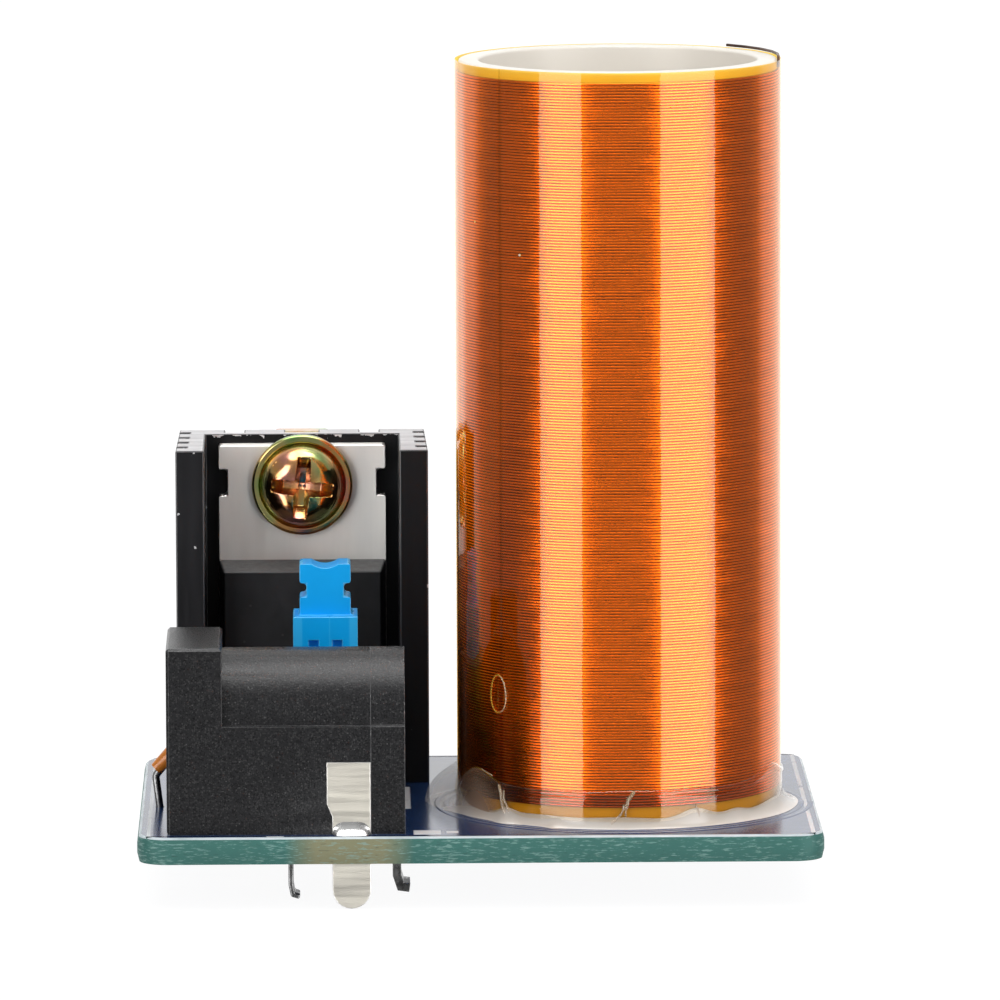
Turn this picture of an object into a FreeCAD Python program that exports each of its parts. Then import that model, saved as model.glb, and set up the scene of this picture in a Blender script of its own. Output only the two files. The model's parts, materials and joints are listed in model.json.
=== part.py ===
import FreeCAD, Part
import math
import os
from FreeCAD import Vector

# Desktop resonant transformer: a tall air-cored secondary winding on a plastic tube, glued upright on a
# small circuit board with its driver transistor, heatsink, power socket and push switch.
# All lengths are millimetres. +X runs to the right, +Y to the back and +Z up. The origin is on the tube's
# axis, at the board's top face. Places on the board are given from its left and front edges.

# Circuit board
board_width = 40.2
board_depth = 30.2
board_thickness = 1.6
board_corner_radius = 1.8
score_bevel = 0.12
score_depth = 0.5
lead_hole_clearance = 0.06

# Place of the secondary coil on the board
tube_from_left = 28.47
tube_from_front = 11.9

# Coil former, a length of plastic tube
former_radius = 9.4
former_wall = 1.2
former_height = 44.4
rim_chamfer = 0.12

# Secondary winding: one layer of fine enamelled wire, shown by a close sleeve and a few raised loops
wire_build = 0.17
winding_above_board = 1.1
winding_below_rim = 0.55
loop_count = 24
loop_sides = 6
loop_gap_samples = 600
sleeve_wall_share = 0.35
loop_gap_share = 0.03

# Clear film wrapped round the winding
film_thickness = 0.06
film_above_board = 0.27
film_seam_angle = -137.5
film_overlap_angle = 28.0

# Ends of the winding
tail_start_angle = -6.0
tail_end_angle = 45.0
tail_steps = 5
base_lead_angle = 94.0
base_lead_reach = 3.1
base_lead_rise = 0.35
base_lead_bend = 0.255

# Printed primary spiral
trace_height = 0.05
trace_width = 0.35
trace_pitch = 0.55
trace_turns = 3
trace_clearance = 0.15

# Hot-melt glue bead round the tube's foot
glue_height = 2.35
glue_foot_width = 1.65
glue_shift_left = 0.35
glue_shift_back = 0.8
glue_height_shares = (0.0, 0.22, 0.55, 1.0)
glue_width_shares = (1.0, 0.72, 0.36, 0.08)

# Heatsink: a channel extrusion, open to the front
heatsink_width = 15.15
heatsink_depth = 10.0
heatsink_height = 20.2
heatsink_from_left = 2.13
heatsink_from_front = 19.68
heatsink_wall = 1.72
heatsink_back = 2.1
wall_splay = 0.15
side_groove_width = 0.75
side_groove_depth = 0.65
side_groove_first = 1.75
side_groove_pitch = 2.25
side_groove_count = 4
back_groove_depth = 1.3
back_groove_width = 1.15
back_groove_offset = 4.08
back_center_groove_width = 2.0

# Power transistor
tab_width = 10.15
tab_thickness = 1.3
tab_below_top = 0.55
tab_notch_depth = 0.55
tab_notch_height = 1.6
tab_notch_above_screw = 0.1
case_width = 10.1
case_height = 9.0
case_thickness = 4.5
case_below_screw = 4.6
case_draft = 0.3
lead_pitch = 2.54
lead_width = 0.8
lead_shoulder_width = 1.3
lead_shoulder_above_board = 0.2
lead_thickness = 0.5
lead_behind_face = 1.8
lead_tail = 1.1

# Screw and nut that clamp the transistor
screw_below_top = 2.9
screw_radius = 1.5
screw_length = 6.0
screw_hole_radius = 1.7
screw_head_radius = 3.05
screw_head_rim = 0.5
screw_head_height = 2.3
screw_head_crown_radius = 1.5
screw_head_bulge = 0.45
recess_length = 3.4
recess_width = 0.85
recess_depth = 1.3
nut_flats = 5.5
nut_thickness = 1.8
thread_clearance = 0.02

# Power socket
jack_from_left = 1.75
jack_from_front = 0.96
jack_length = 13.93
jack_width = 9.0
jack_flange = 3.23
jack_cap = 2.0
barrel_axis_height = 6.4
barrel_radius = 4.0
jack_top_above_axis = 4.6
jack_step_below_axis = 0.03
socket_radius = 3.2
socket_depth = 10.4
socket_mouth_chamfer = 0.4
jack_edge_chamfer = 0.15
pin_radius = 1.05
pin_stem_radius = 0.6
pin_recess = 1.25
pin_tip_chamfer = 0.35
pin_rivet_radius = 0.88
pin_rivet_height = 0.15

# Power socket's terminals
pin_terminal_thickness = 0.5
pin_terminal_width = 2.4
pin_terminal_above_axis = 1.7
pin_terminal_from_end = 0.23
pin_terminal_clearance = 0.1
pin_terminal_drop = 3.0
pin_terminal_hook_drop = 0.68
pin_terminal_hook_lean = 0.22
pin_terminal_hook_reach = 0.53
pin_terminal_hook_dip = 0.073
sleeve_terminal_setback = 6.0
sleeve_terminal_thickness = 0.3
sleeve_terminal_width = 1.6
sleeve_terminal_above_pivot = 0.15
sleeve_terminal_drop = 3.6
sleeve_terminal_hook_drop = 0.6
sleeve_terminal_hook_lean = 0.12
sleeve_terminal_hook_reach = 0.4
sleeve_terminal_hook_dip = 0.12
side_terminal_from_left = 9.34
side_terminal_width = 2.57
side_terminal_tail_width = 2.25
side_terminal_thickness = 0.3
side_terminal_below_axis = 2.13
side_terminal_slope_top = 1.8
side_terminal_slope_foot = 1.05
side_terminal_tip = 4.4
side_terminal_round_steps = 12
side_tongue_width = 0.8
side_tongue_from_edge = 0.35
side_tongue_thickness = 0.25
side_tongue_overhang = 0.6

# Sleeve contact spring, which the plug pushes down
spring_leaf_thickness = 0.2
spring_leaf_width = 1.6
spring_pivot_below_axis = 3.8
spring_pivot_gap = 0.05
spring_leaf_length = 3.7
spring_run_shares = (0.0, 0.3, 0.52, 0.7, 1.0)
spring_bump_rise = 1.25
spring_rise_shares = (0.0, 0.32, 1.0, 0.4, 0.24)
spring_pocket_clearance = 0.3
spring_pocket_depth = 1.0
spring_rest_gap = 0.12

# Push switch
switch_size = 8.5
switch_from_left = 11.07
switch_from_front = 14.7
switch_base_height = 1.2
switch_height = 8.0
switch_wall = 0.9
switch_top_wall = 0.8
switch_edge_chamfer = 0.2
guide_clearance = 0.08

# Button of the push switch
button_stroke = 2.2
button_width = 3.84
button_thickness = 3.6
button_foot_height = 3.6
collar_top = 11.11
shoulder_top = 12.22
neck_top = 13.03
button_top = 14.2
head_width = 3.04
head_thickness = 2.4
neck_width = 2.23
head_notch_width = 1.6
head_notch_depth = 0.25
wing_reach = 2.9
wing_width = 2.0
wing_thickness = 0.8
wing_top_gap = 0.1
slot_width = 0.6
slot_spacing = 1.4
slot_top = 9.69
slot_height = 1.4
slot_depth = 0.5

# Return spring of the push switch
return_spring_radius = 0.78
return_spring_wire = 0.24
return_spring_turns = 8
return_spring_end_gap = 0.05
spring_bore_radius = 1.0
spring_bore_top = 8.0

# Latch of the push switch: a wire finger in a heart-shaped cam
latch_wire_diameter = 0.36
latch_wire_offset = 2.25
latch_tip_height = 5.4
latch_tip_gap = 0.15
latch_foot_depth = 0.6
latch_foot_clearance = 0.15
latch_bend_radius = 0.3
cam_depth = 0.55
cam_width = 1.9
cam_below_tip = 0.4
cam_above_stroke = 0.4
heart_width = 0.56
heart_height = 1.1
heart_shift = 0.3
heart_above_tip = 0.45
heart_shoulder_share = 0.55
heart_notch_share = 0.85

# Contacts and pins of the push switch
switch_pin_pitch = 2.5
switch_pin_width = 0.5
switch_pin_thickness = 0.4
switch_pin_top = 3.6
switch_pin_tail = 1.0
slider_thickness = 0.18
slider_length = 3.2
slider_height = 2.35
slider_foot = 3.45
slider_gap = 0.05

# Resistor and clamp diode, lying behind the coil
resistor_length = 6.3
resistor_radius = 1.15
resistor_waist_radius = 0.98
resistor_cap_length = 1.5
resistor_cap_ramp = 0.375
resistor_pitch = 10.16
resistor_from_left = 28.3
resistor_from_front = 28.75
diode_length = 4.0
diode_radius = 0.92
diode_end_fillet = 0.3
diode_pitch = 7.62
diode_from_left = 28.3
diode_from_front = 26.15
axial_lead_radius = 0.25
axial_lead_bend = 0.7
axial_stand_off = 0.1
axial_lead_tail = 1.0

# Radial capacitor between the socket and the heatsink
capacitor_radius = 2.35
capacitor_thickness = 2.4
capacitor_edge_fillet = 0.9
capacitor_center_height = 5.2
capacitor_from_left = 4.2
capacitor_from_front = 11.3
capacitor_pitch = 5.08
capacitor_lead_radius = 0.225
capacitor_foot_from_left = 1.19
capacitor_knee_spread = 0.24
capacitor_right_knee_spread = 0.05
capacitor_knee_height = 1.9
capacitor_coat_height = 3.5
capacitor_coat_inset = 0.45
capacitor_coat_radius = 0.6
capacitor_coat_tip_radius = 0.36
capacitor_lead_bend = 0.4
capacitor_lead_tail = 0.9

# Solder under the board
solder_radius = 0.85
solder_tip_radius = 0.4
solder_height = 0.65
solder_margin = 0.45
solder_tip_margin = 0.15
solder_foot_height = 0.75

# Overrun of every cutting tool
overrun = 1.0

# Heights and places worked out from the sizes above
board_left = -tube_from_left
board_front = -tube_from_front
board_under = -board_thickness
winding_height = former_height - winding_above_board - winding_below_rim
film_radius = former_radius + wire_build + film_thickness
sleeve_wall = wire_build * sleeve_wall_share
heatsink_center_from_left = heatsink_from_left + heatsink_width / 2
screw_height = heatsink_height - screw_below_top
tab_top = heatsink_height - tab_below_top
tab_notch_center = screw_height + tab_notch_above_screw
case_top = screw_height - case_below_screw
channel_back_from_front = heatsink_from_front + heatsink_depth - heatsink_back
tab_face_from_front = channel_back_from_front - tab_thickness
case_face_from_front = channel_back_from_front - case_thickness
jack_height = barrel_axis_height + jack_top_above_axis
jack_step_height = barrel_axis_height - jack_step_below_axis
spring_pivot_height = barrel_axis_height - spring_pivot_below_axis
pin_terminal_top = barrel_axis_height + pin_terminal_above_axis
sleeve_terminal_top = spring_pivot_height + sleeve_terminal_above_pivot
side_terminal_top = barrel_axis_height - side_terminal_below_axis
jack_end_from_left = jack_from_left + jack_length
jack_parting_from_left = jack_end_from_left - jack_cap
jack_axis_from_front = jack_from_front + jack_width / 2
pin_terminal_from_left = jack_end_from_left - pin_terminal_from_end - pin_terminal_thickness / 2
sleeve_terminal_from_left = pin_terminal_from_left - sleeve_terminal_setback - pin_terminal_from_end
spring_pivot_from_left = sleeve_terminal_from_left + sleeve_terminal_thickness / 2 + spring_pivot_gap


def across(from_left):
    """Part X of a distance from the board's left edge."""
    return board_left + from_left


def deep(from_front):
    """Part Y of a distance from the board's front edge."""
    return board_front + from_front


def block(x0, x1, y0, y1, z0, z1):
    return Part.makeBox(x1 - x0, y1 - y0, z1 - z0, Vector(x0, y0, z0))


def centered_block(x, y, width, depth, z0, z1):
    return block(x - width / 2, x + width / 2, y - depth / 2, y + depth / 2, z0, z1)


def rod(x, y, z0, z1, radius):
    return Part.makeCylinder(radius, z1 - z0, Vector(x, y, z0))


def rod_along(start, direction, length, radius):
    return Part.makeCylinder(radius, length, start, direction)


def tube(z0, z1, inner, outer):
    return rod(0, 0, z0, z1, outer).cut(rod(0, 0, z0, z1, inner))


def prism(points, push):
    """Closed outline through the points, pushed along a vector."""
    return Part.Face(Part.makePolygon(points + [points[0]])).extrude(push)


def side_prism(outline, y0, y1):
    """Outline of (x, z) pairs pushed from y0 to y1."""
    return prism([Vector(x, y0, z) for x, z in outline], Vector(0, y1 - y0, 0))


def plan_prism(outline, z0, z1):
    """Outline of (x, y) pairs pushed from z0 to z1."""
    return prism([Vector(x, y, z0) for x, y in outline], Vector(0, 0, z1 - z0))


def fused(shapes):
    first = shapes[0]
    return first.fuse(shapes[1:]).removeSplitter() if len(shapes) > 1 else first


def rounded_rectangle(x0, x1, y0, y1, z, radius):
    """Closed wire with four quarter-round corners."""
    corners = [(x1, y0, 270), (x1, y1, 0), (x0, y1, 90), (x0, y0, 180)]
    edges = []
    last = None
    for x, y, angle in corners:
        cx = x - radius if x == x1 else x + radius
        cy = y - radius if y == y1 else y + radius
        stations = [math.radians(angle + quarter * 45) for quarter in range(3)]
        start, middle, end = [
            Vector(cx + radius * math.cos(a), cy + radius * math.sin(a), z) for a in stations
        ]
        if last is not None:
            edges.append(Part.LineSegment(last, start).toShape())
        else:
            first = start
        edges.append(Part.Arc(start, middle, end).toShape())
        last = end
    edges.append(Part.LineSegment(last, first).toShape())
    return Part.Wire(edges)


def bent_wire(points, bend):
    """Straight runs through the points, joined by tangent arcs."""
    edges = []
    here = points[0]
    for before, corner, after in zip(points, points[1:], points[2:]):
        run_in = (corner - before).normalize()
        run_out = (after - corner).normalize()
        turn = run_in.getAngle(run_out)
        reach = bend * math.tan(turn / 2)
        start = corner - run_in * reach
        end = corner + run_out * reach
        inward = (run_out - run_in).normalize()
        middle = corner + inward * (bend / math.cos(turn / 2) - bend)
        edges.append(Part.LineSegment(here, start).toShape())
        edges.append(Part.Arc(start, middle, end).toShape())
        here = end
    edges.append(Part.LineSegment(here, points[-1]).toShape())
    return Part.Wire(edges)


def swept(path, section):
    """Solid of a closed section carried along a wire."""
    shell = Part.BRepOffsetAPI.MakePipeShell(path)
    shell.add(section)
    shell.build()
    shell.makeSolid()
    return shell.shape()


def path_start(path):
    edge = path.OrderedEdges[0]
    return edge.valueAt(edge.FirstParameter), edge.tangentAt(edge.FirstParameter)


def swept_round(path, radius):
    """Round bar along a wire."""
    start, along = path_start(path)
    return swept(path, Part.Wire(Part.makeCircle(radius, start, along)))


def swept_sided(path, radius, sides):
    """Bar of a regular many-sided section along a rising coil, with a flat facing in and one out."""
    start, along = path_start(path)
    level = along.cross(Vector(0, 0, 1)).normalize()
    rise = level.cross(along)
    corners = []
    for index in range(sides):
        angle = 2 * math.pi * (index + 0.5) / sides
        corners.append(start + (level * math.cos(angle) + rise * math.sin(angle)) * radius)
    return swept(path, Part.makePolygon(corners + [corners[0]]))


def bent_bar(points, radius, bend):
    return swept_round(bent_wire(points, bend), radius)


def arc_from_tangent(start, tangent, end):
    """Arc that leaves start along the tangent and reaches end."""
    chord = end - start
    unit = Vector(chord).normalize()
    lean = tangent.getAngle(unit)
    outward = (tangent - unit * tangent.dot(unit)).normalize()
    middle = start + chord / 2 + outward * (chord.Length / 2 * math.tan(lean / 2))
    return Part.Arc(start, middle, end).toShape()


def helix_wire(center, radius, pitch, turns, splits):
    """Rising helix made of two tangent arcs for each part of a turn, with that many parts in a turn."""
    steps = splits * turns
    climb = pitch / (2 * math.pi)

    def station(index):
        angle = 2 * math.pi * index / splits
        rise = pitch * index / splits
        place = center + Vector(radius * math.cos(angle), radius * math.sin(angle), rise)
        heading = Vector(-radius * math.sin(angle), radius * math.cos(angle), climb).normalize()
        return place, heading

    edges = []
    for index in range(steps):
        p0, t0 = station(index)
        p1, t1 = station(index + 1)
        span = p1 - p0
        total = t0 + t1
        spread = 2 * (1 - t0.dot(t1))
        along = span.dot(total)
        reach = (-along + math.sqrt(along ** 2 + spread * span.dot(span))) / spread
        joint = (p0 + p1 + (t0 - t1) * reach) / 2
        edges.append(arc_from_tangent(p0, t0, joint))
        back = arc_from_tangent(p1, t1 * -1, joint)
        edges.append(back)
    return Part.Wire(Part.sortEdges(edges)[0])


def least_gap(path, radius, pitch):
    """Smallest gap between neighbouring loops of a wound bar, measured on points of its path."""
    points = path.discretize(loop_gap_samples)
    least = min(
        (a - b).Length
        for i, a in enumerate(points)
        for b in points[i + 1:]
        if pitch / 2 < abs(a.z - b.z) < 3 * pitch / 2
    )
    return least - 2 * radius


def ribbon(path, thickness, y0, y1):
    """Bent strip that follows a line of (x, z) pairs, with mitred bends."""
    points = [Vector(x, 0, z) for x, z in path]
    left = []
    right = []
    for index, point in enumerate(points):
        runs = []
        if index > 0:
            runs.append((point - points[index - 1]).normalize())
        if index < len(points) - 1:
            runs.append((points[index + 1] - point).normalize())
        heading = (runs[0] + runs[-1]).normalize()
        side = Vector(-heading.z, 0, heading.x)
        reach = thickness / 2 / heading.dot(runs[0])
        left.append((point.x + side.x * reach, point.z + side.z * reach))
        right.append((point.x - side.x * reach, point.z - side.z * reach))
    return side_prism(left + right[::-1], y0, y1)


def turned(profile, base, axis):
    """Solid of revolution from a closed list of points."""
    return Part.Face(Part.makePolygon(profile + [profile[0]])).revolve(base, axis, 360)


def save(name, shape):
    shape.exportStep("parts/" + name + ".step")
    print(name, "solids", len(shape.Solids), "volume", round(shape.Volume, 3))


os.makedirs("parts", exist_ok=True)


# Coil former
def make_former():
    body = tube(0, former_height, former_radius - former_wall, former_radius)
    rims = [
        edge for edge in body.Edges
        if abs(edge.BoundBox.ZMin - former_height) < rim_chamfer / 2
        and abs(edge.BoundBox.XMax - former_radius) < rim_chamfer
    ]
    return body.makeChamfer(rim_chamfer, rims[:1])


# Secondary winding
def make_winding():
    sleeve = tube(winding_above_board, winding_above_board + winding_height,
                  former_radius, former_radius + sleeve_wall)
    gap = wire_build * loop_gap_share
    loop_radius = (wire_build - sleeve_wall - 2 * gap) / 2
    pitch = (winding_height - 2 * loop_radius - 2 * gap) / loop_count
    start = Vector(0, 0, winding_above_board + loop_radius + gap)
    path = helix_wire(start, former_radius + sleeve_wall + gap + loop_radius, pitch, loop_count, 2)
    loops = swept_sided(path, loop_radius, loop_sides)
    print("winding least gap", round(least_gap(path, loop_radius, pitch), 3))
    return Part.makeCompound([sleeve, loops])


def polar(radius, angle, z):
    turn = math.radians(angle)
    return Vector(radius * math.cos(turn), radius * math.sin(turn), z)


def make_top_tail():
    """Free end of the winding, up out of the film and round the rim's outer edge."""
    radius = wire_build / 2
    ring = former_radius + radius
    rest = former_height + film_thickness + radius
    span = (tail_end_angle - tail_start_angle) / tail_steps
    foot = polar(ring, tail_start_angle, former_height - winding_below_rim + radius)
    points = [foot] + [
        polar(ring, tail_start_angle + span * index, rest) for index in range(tail_steps + 1)
    ]
    return bent_bar(points, radius, wire_build)


def make_base_lead():
    """Lower end of the winding, out through the film and down into the board."""
    radius = wire_build / 2
    start = former_radius + wire_build + radius
    rise = winding_above_board + base_lead_rise
    points = [
        polar(start, base_lead_angle, winding_above_board + radius),
        polar(start + base_lead_reach / 2, base_lead_angle, rise),
        polar(film_radius + base_lead_reach, base_lead_angle, winding_above_board),
        polar(film_radius + base_lead_reach, base_lead_angle, board_under - radius),
    ]
    return bent_bar(points, radius, base_lead_bend)


# Clear film with its overlapped seam
def make_film(base_lead):
    inner = former_radius + wire_build
    wrap = tube(film_above_board, former_height, inner, film_radius)
    lap_outer = film_radius + film_thickness
    lap = tube(film_above_board, former_height, film_radius, lap_outer)
    far = 2 * lap_outer
    start = math.radians(film_seam_angle - film_overlap_angle)
    middle = math.radians(film_seam_angle - film_overlap_angle / 2)
    end = math.radians(film_seam_angle)
    fan = [(0, 0)] + [(far * math.cos(a), far * math.sin(a)) for a in (start, middle, end)]
    lap = lap.common(plan_prism(fan, film_above_board - overrun, former_height + overrun))
    return fused([wrap, lap]).cut(base_lead)


# Printed primary spiral, made of half turns about two centres
def make_spiral():
    half = trace_pitch / 2
    start = former_radius + trace_clearance

    def half_turns(first_radius):
        edges = []
        for index in range(2 * trace_turns):
            radius = first_radius + half * index
            center = 0 if index % 2 == 0 else half
            side = 1 if index % 2 == 0 else -1
            points = [
                Vector(center + side * radius, 0, 0),
                Vector(center, side * radius, 0),
                Vector(center - side * radius, 0, 0),
            ]
            edges.append(Part.Arc(*points).toShape())
        return edges

    inner = half_turns(start)
    outer = half_turns(start + trace_width)
    ends = [
        Part.LineSegment(inner[0].valueAt(inner[0].FirstParameter),
                         outer[0].valueAt(outer[0].FirstParameter)).toShape(),
        Part.LineSegment(inner[-1].valueAt(inner[-1].LastParameter),
                         outer[-1].valueAt(outer[-1].LastParameter)).toShape(),
    ]
    outline = Part.Wire(Part.sortEdges(inner + outer + ends)[0])
    return Part.Face(outline).extrude(Vector(0, 0, trace_height))


# Glue bead: round sections that shrink and centre themselves towards the top
def make_glue(base_lead):
    rings = []
    for height_share, width_share in zip(glue_height_shares, glue_width_shares):
        z = trace_height + (glue_height - trace_height) * height_share
        center = Vector(-glue_shift_left * width_share, glue_shift_back * width_share, z)
        radius = film_radius + film_thickness + glue_foot_width * width_share
        rings.append(Part.Wire(Part.makeCircle(radius, center)))
    bead = Part.makeLoft(rings, True, True)
    core = rod(0, 0, -overrun, glue_height + overrun, film_radius + film_thickness)
    return bead.cut(core).cut(base_lead)


# Heatsink
def outer_wall(depth):
    """Half width of the channel at a depth from its front."""
    return heatsink_width / 2 - wall_splay * depth / heatsink_depth


def make_heatsink():
    center = across(heatsink_center_from_left)
    front = deep(heatsink_from_front)
    back = front + heatsink_depth
    wide = outer_wall(0)
    narrow = outer_wall(heatsink_depth)
    inside = wide - heatsink_wall
    inner_back = back - heatsink_back
    outline = [
        (center - wide, front), (center - inside, front), (center - inside, inner_back),
        (center + inside, inner_back), (center + inside, front), (center + wide, front),
        (center + narrow, back), (center - narrow, back),
    ]
    body = plan_prism(outline, 0, heatsink_height)
    cuts = []
    for index in range(side_groove_count):
        depth = side_groove_first + side_groove_pitch * index
        floor = outer_wall(depth) - side_groove_depth
        y0 = front + depth - side_groove_width / 2
        y1 = y0 + side_groove_width
        for side in (-1, 1):
            x0, x1 = sorted((center + side * floor, center + side * (wide + overrun)))
            cuts.append(block(x0, x1, y0, y1, -overrun, heatsink_height + overrun))
    for offset, width in (
        (-back_groove_offset, back_groove_width),
        (0, back_center_groove_width),
        (back_groove_offset, back_groove_width),
    ):
        x = center + offset
        cuts.append(block(x - width / 2, x + width / 2, back - back_groove_depth, back + overrun,
                          -overrun, heatsink_height + overrun))
    cuts.append(rod_along(Vector(center, inner_back - overrun, screw_height), Vector(0, 1, 0),
                          heatsink_back + 2 * overrun, screw_hole_radius))
    return body.cut(cuts)


# Power transistor
def make_tab():
    center = across(heatsink_center_from_left)
    y0 = deep(tab_face_from_front)
    y1 = y0 + tab_thickness
    foot = case_top - case_height
    plate = block(center - tab_width / 2, center + tab_width / 2, y0, y1, foot, tab_top)
    cuts = [rod_along(Vector(center, y0 - overrun, screw_height), Vector(0, 1, 0),
                      tab_thickness + 2 * overrun, screw_hole_radius)]
    low = tab_notch_center - tab_notch_height / 2
    for side in (-1, 1):
        edge = center + side * tab_width / 2
        x0, x1 = sorted((edge - side * tab_notch_depth, edge + side * overrun))
        cuts.append(block(x0, x1, y0 - overrun, y1 + overrun, low, low + tab_notch_height))
    return plate.cut(cuts)


def make_case():
    """Moulded body in front of the tab, a little narrower at its front face."""
    center = across(heatsink_center_from_left)
    y0 = deep(case_face_from_front)
    y1 = deep(tab_face_from_front)
    foot = case_top - case_height
    half = case_width / 2
    front = half - case_draft
    outline = [(center - front, y0), (center + front, y0), (center + half, y1), (center - half, y1)]
    body = plan_prism(outline, foot, case_top)
    slope = [
        Vector(center - case_width, y0, case_top - case_draft),
        Vector(center - case_width, y0, case_top + overrun),
        Vector(center - case_width, y1, case_top + overrun),
        Vector(center - case_width, y1, case_top),
    ]
    return body.cut(prism(slope, Vector(2 * case_width, 0, 0)))


def transistor_lead_places():
    center = across(heatsink_center_from_left)
    y = deep(channel_back_from_front - case_thickness + lead_behind_face)
    return [(center + lead_pitch * index, y) for index in (-1, 0, 1)]


def make_transistor_leads():
    foot = case_top - case_height
    step = lead_shoulder_above_board
    leads = []
    for x, y in transistor_lead_places():
        shoulder = centered_block(x, y, lead_shoulder_width, lead_thickness, step, foot)
        tail = centered_block(x, y, lead_width, lead_thickness, board_under - lead_tail, step)
        leads.append(fused([shoulder, tail]))
    return Part.makeCompound(leads)


def make_screw():
    """Pan head with a cross recess, and its shank."""
    center = across(heatsink_center_from_left)
    seat = deep(tab_face_from_front)
    rim = seat - screw_head_rim
    nose = seat - screw_head_height
    crown = screw_head_crown_radius
    swell = (screw_head_radius + crown) / 2
    high = seat - (screw_head_height + screw_head_rim) / 2
    axis_point = Vector(center, seat, screw_height)
    profile = [
        Vector(center, nose, screw_height),
        Vector(center + crown, nose, screw_height),
        Vector(center + swell, high - screw_head_bulge, screw_height),
        Vector(center + screw_head_radius, rim, screw_height),
        Vector(center + screw_head_radius, seat, screw_height),
        Vector(center, seat, screw_height),
    ]
    head = turned(profile, axis_point, Vector(0, 1, 0))
    shank = rod_along(axis_point, Vector(0, 1, 0), screw_length, screw_radius)
    arms = [
        block(center - length / 2, center + length / 2, nose - overrun, nose + recess_depth,
              screw_height - width / 2, screw_height + width / 2)
        for length, width in ((recess_length, recess_width), (recess_width, recess_length))
    ]
    return fused([head, shank]).cut(arms)


def make_nut():
    center = across(heatsink_center_from_left)
    y = deep(heatsink_from_front + heatsink_depth)
    reach = nut_flats / math.sqrt(3)
    corners = []
    for index in range(6):
        angle = math.radians(60 * index)
        corners.append(Vector(center + reach * math.cos(angle), y, screw_height + reach * math.sin(angle)))
    body = prism(corners, Vector(0, nut_thickness, 0))
    hole = rod_along(Vector(center, y - overrun, screw_height), Vector(0, 1, 0),
                     nut_thickness + 2 * overrun, screw_radius + thread_clearance)
    return body.cut(hole)


# Power socket
def jack_profile(x0, x1):
    """Square foot with the round barrel on top of it."""
    front = deep(jack_from_front)
    middle = deep(jack_axis_from_front)
    foot = block(x0, x1, front, front + jack_width, 0, jack_step_height)
    barrel = rod_along(Vector(x0, middle, barrel_axis_height), Vector(1, 0, 0), x1 - x0, barrel_radius)
    return fused([foot, barrel])


def spring_path():
    """Line of the leaf spring's middle, from its pivot towards the socket's end."""
    x = across(spring_pivot_from_left)
    return [
        (x + spring_leaf_length * run, spring_pivot_height + spring_bump_rise * rise)
        for run, rise in zip(spring_run_shares, spring_rise_shares)
    ]


def side_tongue():
    """Inner tongue of the side terminal, just above the leaf spring's end."""
    right = across(jack_from_left + side_terminal_from_left + side_terminal_width)
    x1 = right - side_tongue_from_edge
    y0 = deep(jack_from_front)
    y1 = deep(jack_axis_from_front) + side_tongue_overhang
    end_height = spring_pivot_height + spring_bump_rise * spring_rise_shares[-1]
    z0 = end_height + spring_leaf_thickness / 2 + spring_rest_gap
    return x1 - side_tongue_width, x1, y0, y1, z0, z0 + side_tongue_thickness


def side_terminal_outline():
    left = across(jack_from_left + side_terminal_from_left)
    right = left + side_terminal_width
    tail_left = right - side_terminal_tail_width
    radius = side_terminal_tail_width / 2
    center_z = radius - side_terminal_tip
    outline = [
        (left, side_terminal_top), (right, side_terminal_top), (right, center_z),
    ]
    for step in range(1, side_terminal_round_steps):
        angle = math.pi * step / side_terminal_round_steps
        outline.append((tail_left + radius + radius * math.cos(angle), center_z - radius * math.sin(angle)))
    outline += [(tail_left, center_z), (tail_left, side_terminal_slope_foot),
                (left, side_terminal_slope_top)]
    return outline


def make_side_terminal():
    y0 = deep(jack_from_front)
    plate = side_prism(side_terminal_outline(), y0, y0 + side_terminal_thickness)
    return fused([plate, block(*side_tongue())])


def pin_terminal_path():
    x = across(pin_terminal_from_left)
    drop = -pin_terminal_drop
    hook = drop - pin_terminal_hook_drop
    return [
        (x, pin_terminal_top), (x, drop), (x + pin_terminal_hook_lean, hook),
        (x + pin_terminal_hook_lean + pin_terminal_hook_reach, hook - pin_terminal_hook_dip),
    ]


def make_pin_terminal():
    y = deep(jack_axis_from_front)
    half = pin_terminal_width / 2
    strip = ribbon(pin_terminal_path(), pin_terminal_thickness, y - half, y + half)
    x0 = across(pin_terminal_from_left) - pin_terminal_thickness
    hole = rod_along(Vector(x0, y, barrel_axis_height), Vector(1, 0, 0),
                     2 * pin_terminal_thickness, pin_stem_radius)
    return strip.cut(hole)


def sleeve_terminal_path():
    x = across(sleeve_terminal_from_left)
    drop = -sleeve_terminal_drop
    hook = drop - sleeve_terminal_hook_drop
    return [
        (x, sleeve_terminal_top), (x, drop), (x + sleeve_terminal_hook_lean, hook),
        (x + sleeve_terminal_hook_lean + sleeve_terminal_hook_reach, hook - sleeve_terminal_hook_dip),
    ]


def make_sleeve_terminal():
    y = deep(jack_axis_from_front)
    half = sleeve_terminal_width / 2
    return ribbon(sleeve_terminal_path(), sleeve_terminal_thickness, y - half, y + half)


def make_sleeve_spring():
    y = deep(jack_axis_from_front)
    half = spring_leaf_width / 2
    return ribbon(spring_path(), spring_leaf_thickness, y - half, y + half)


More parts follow.
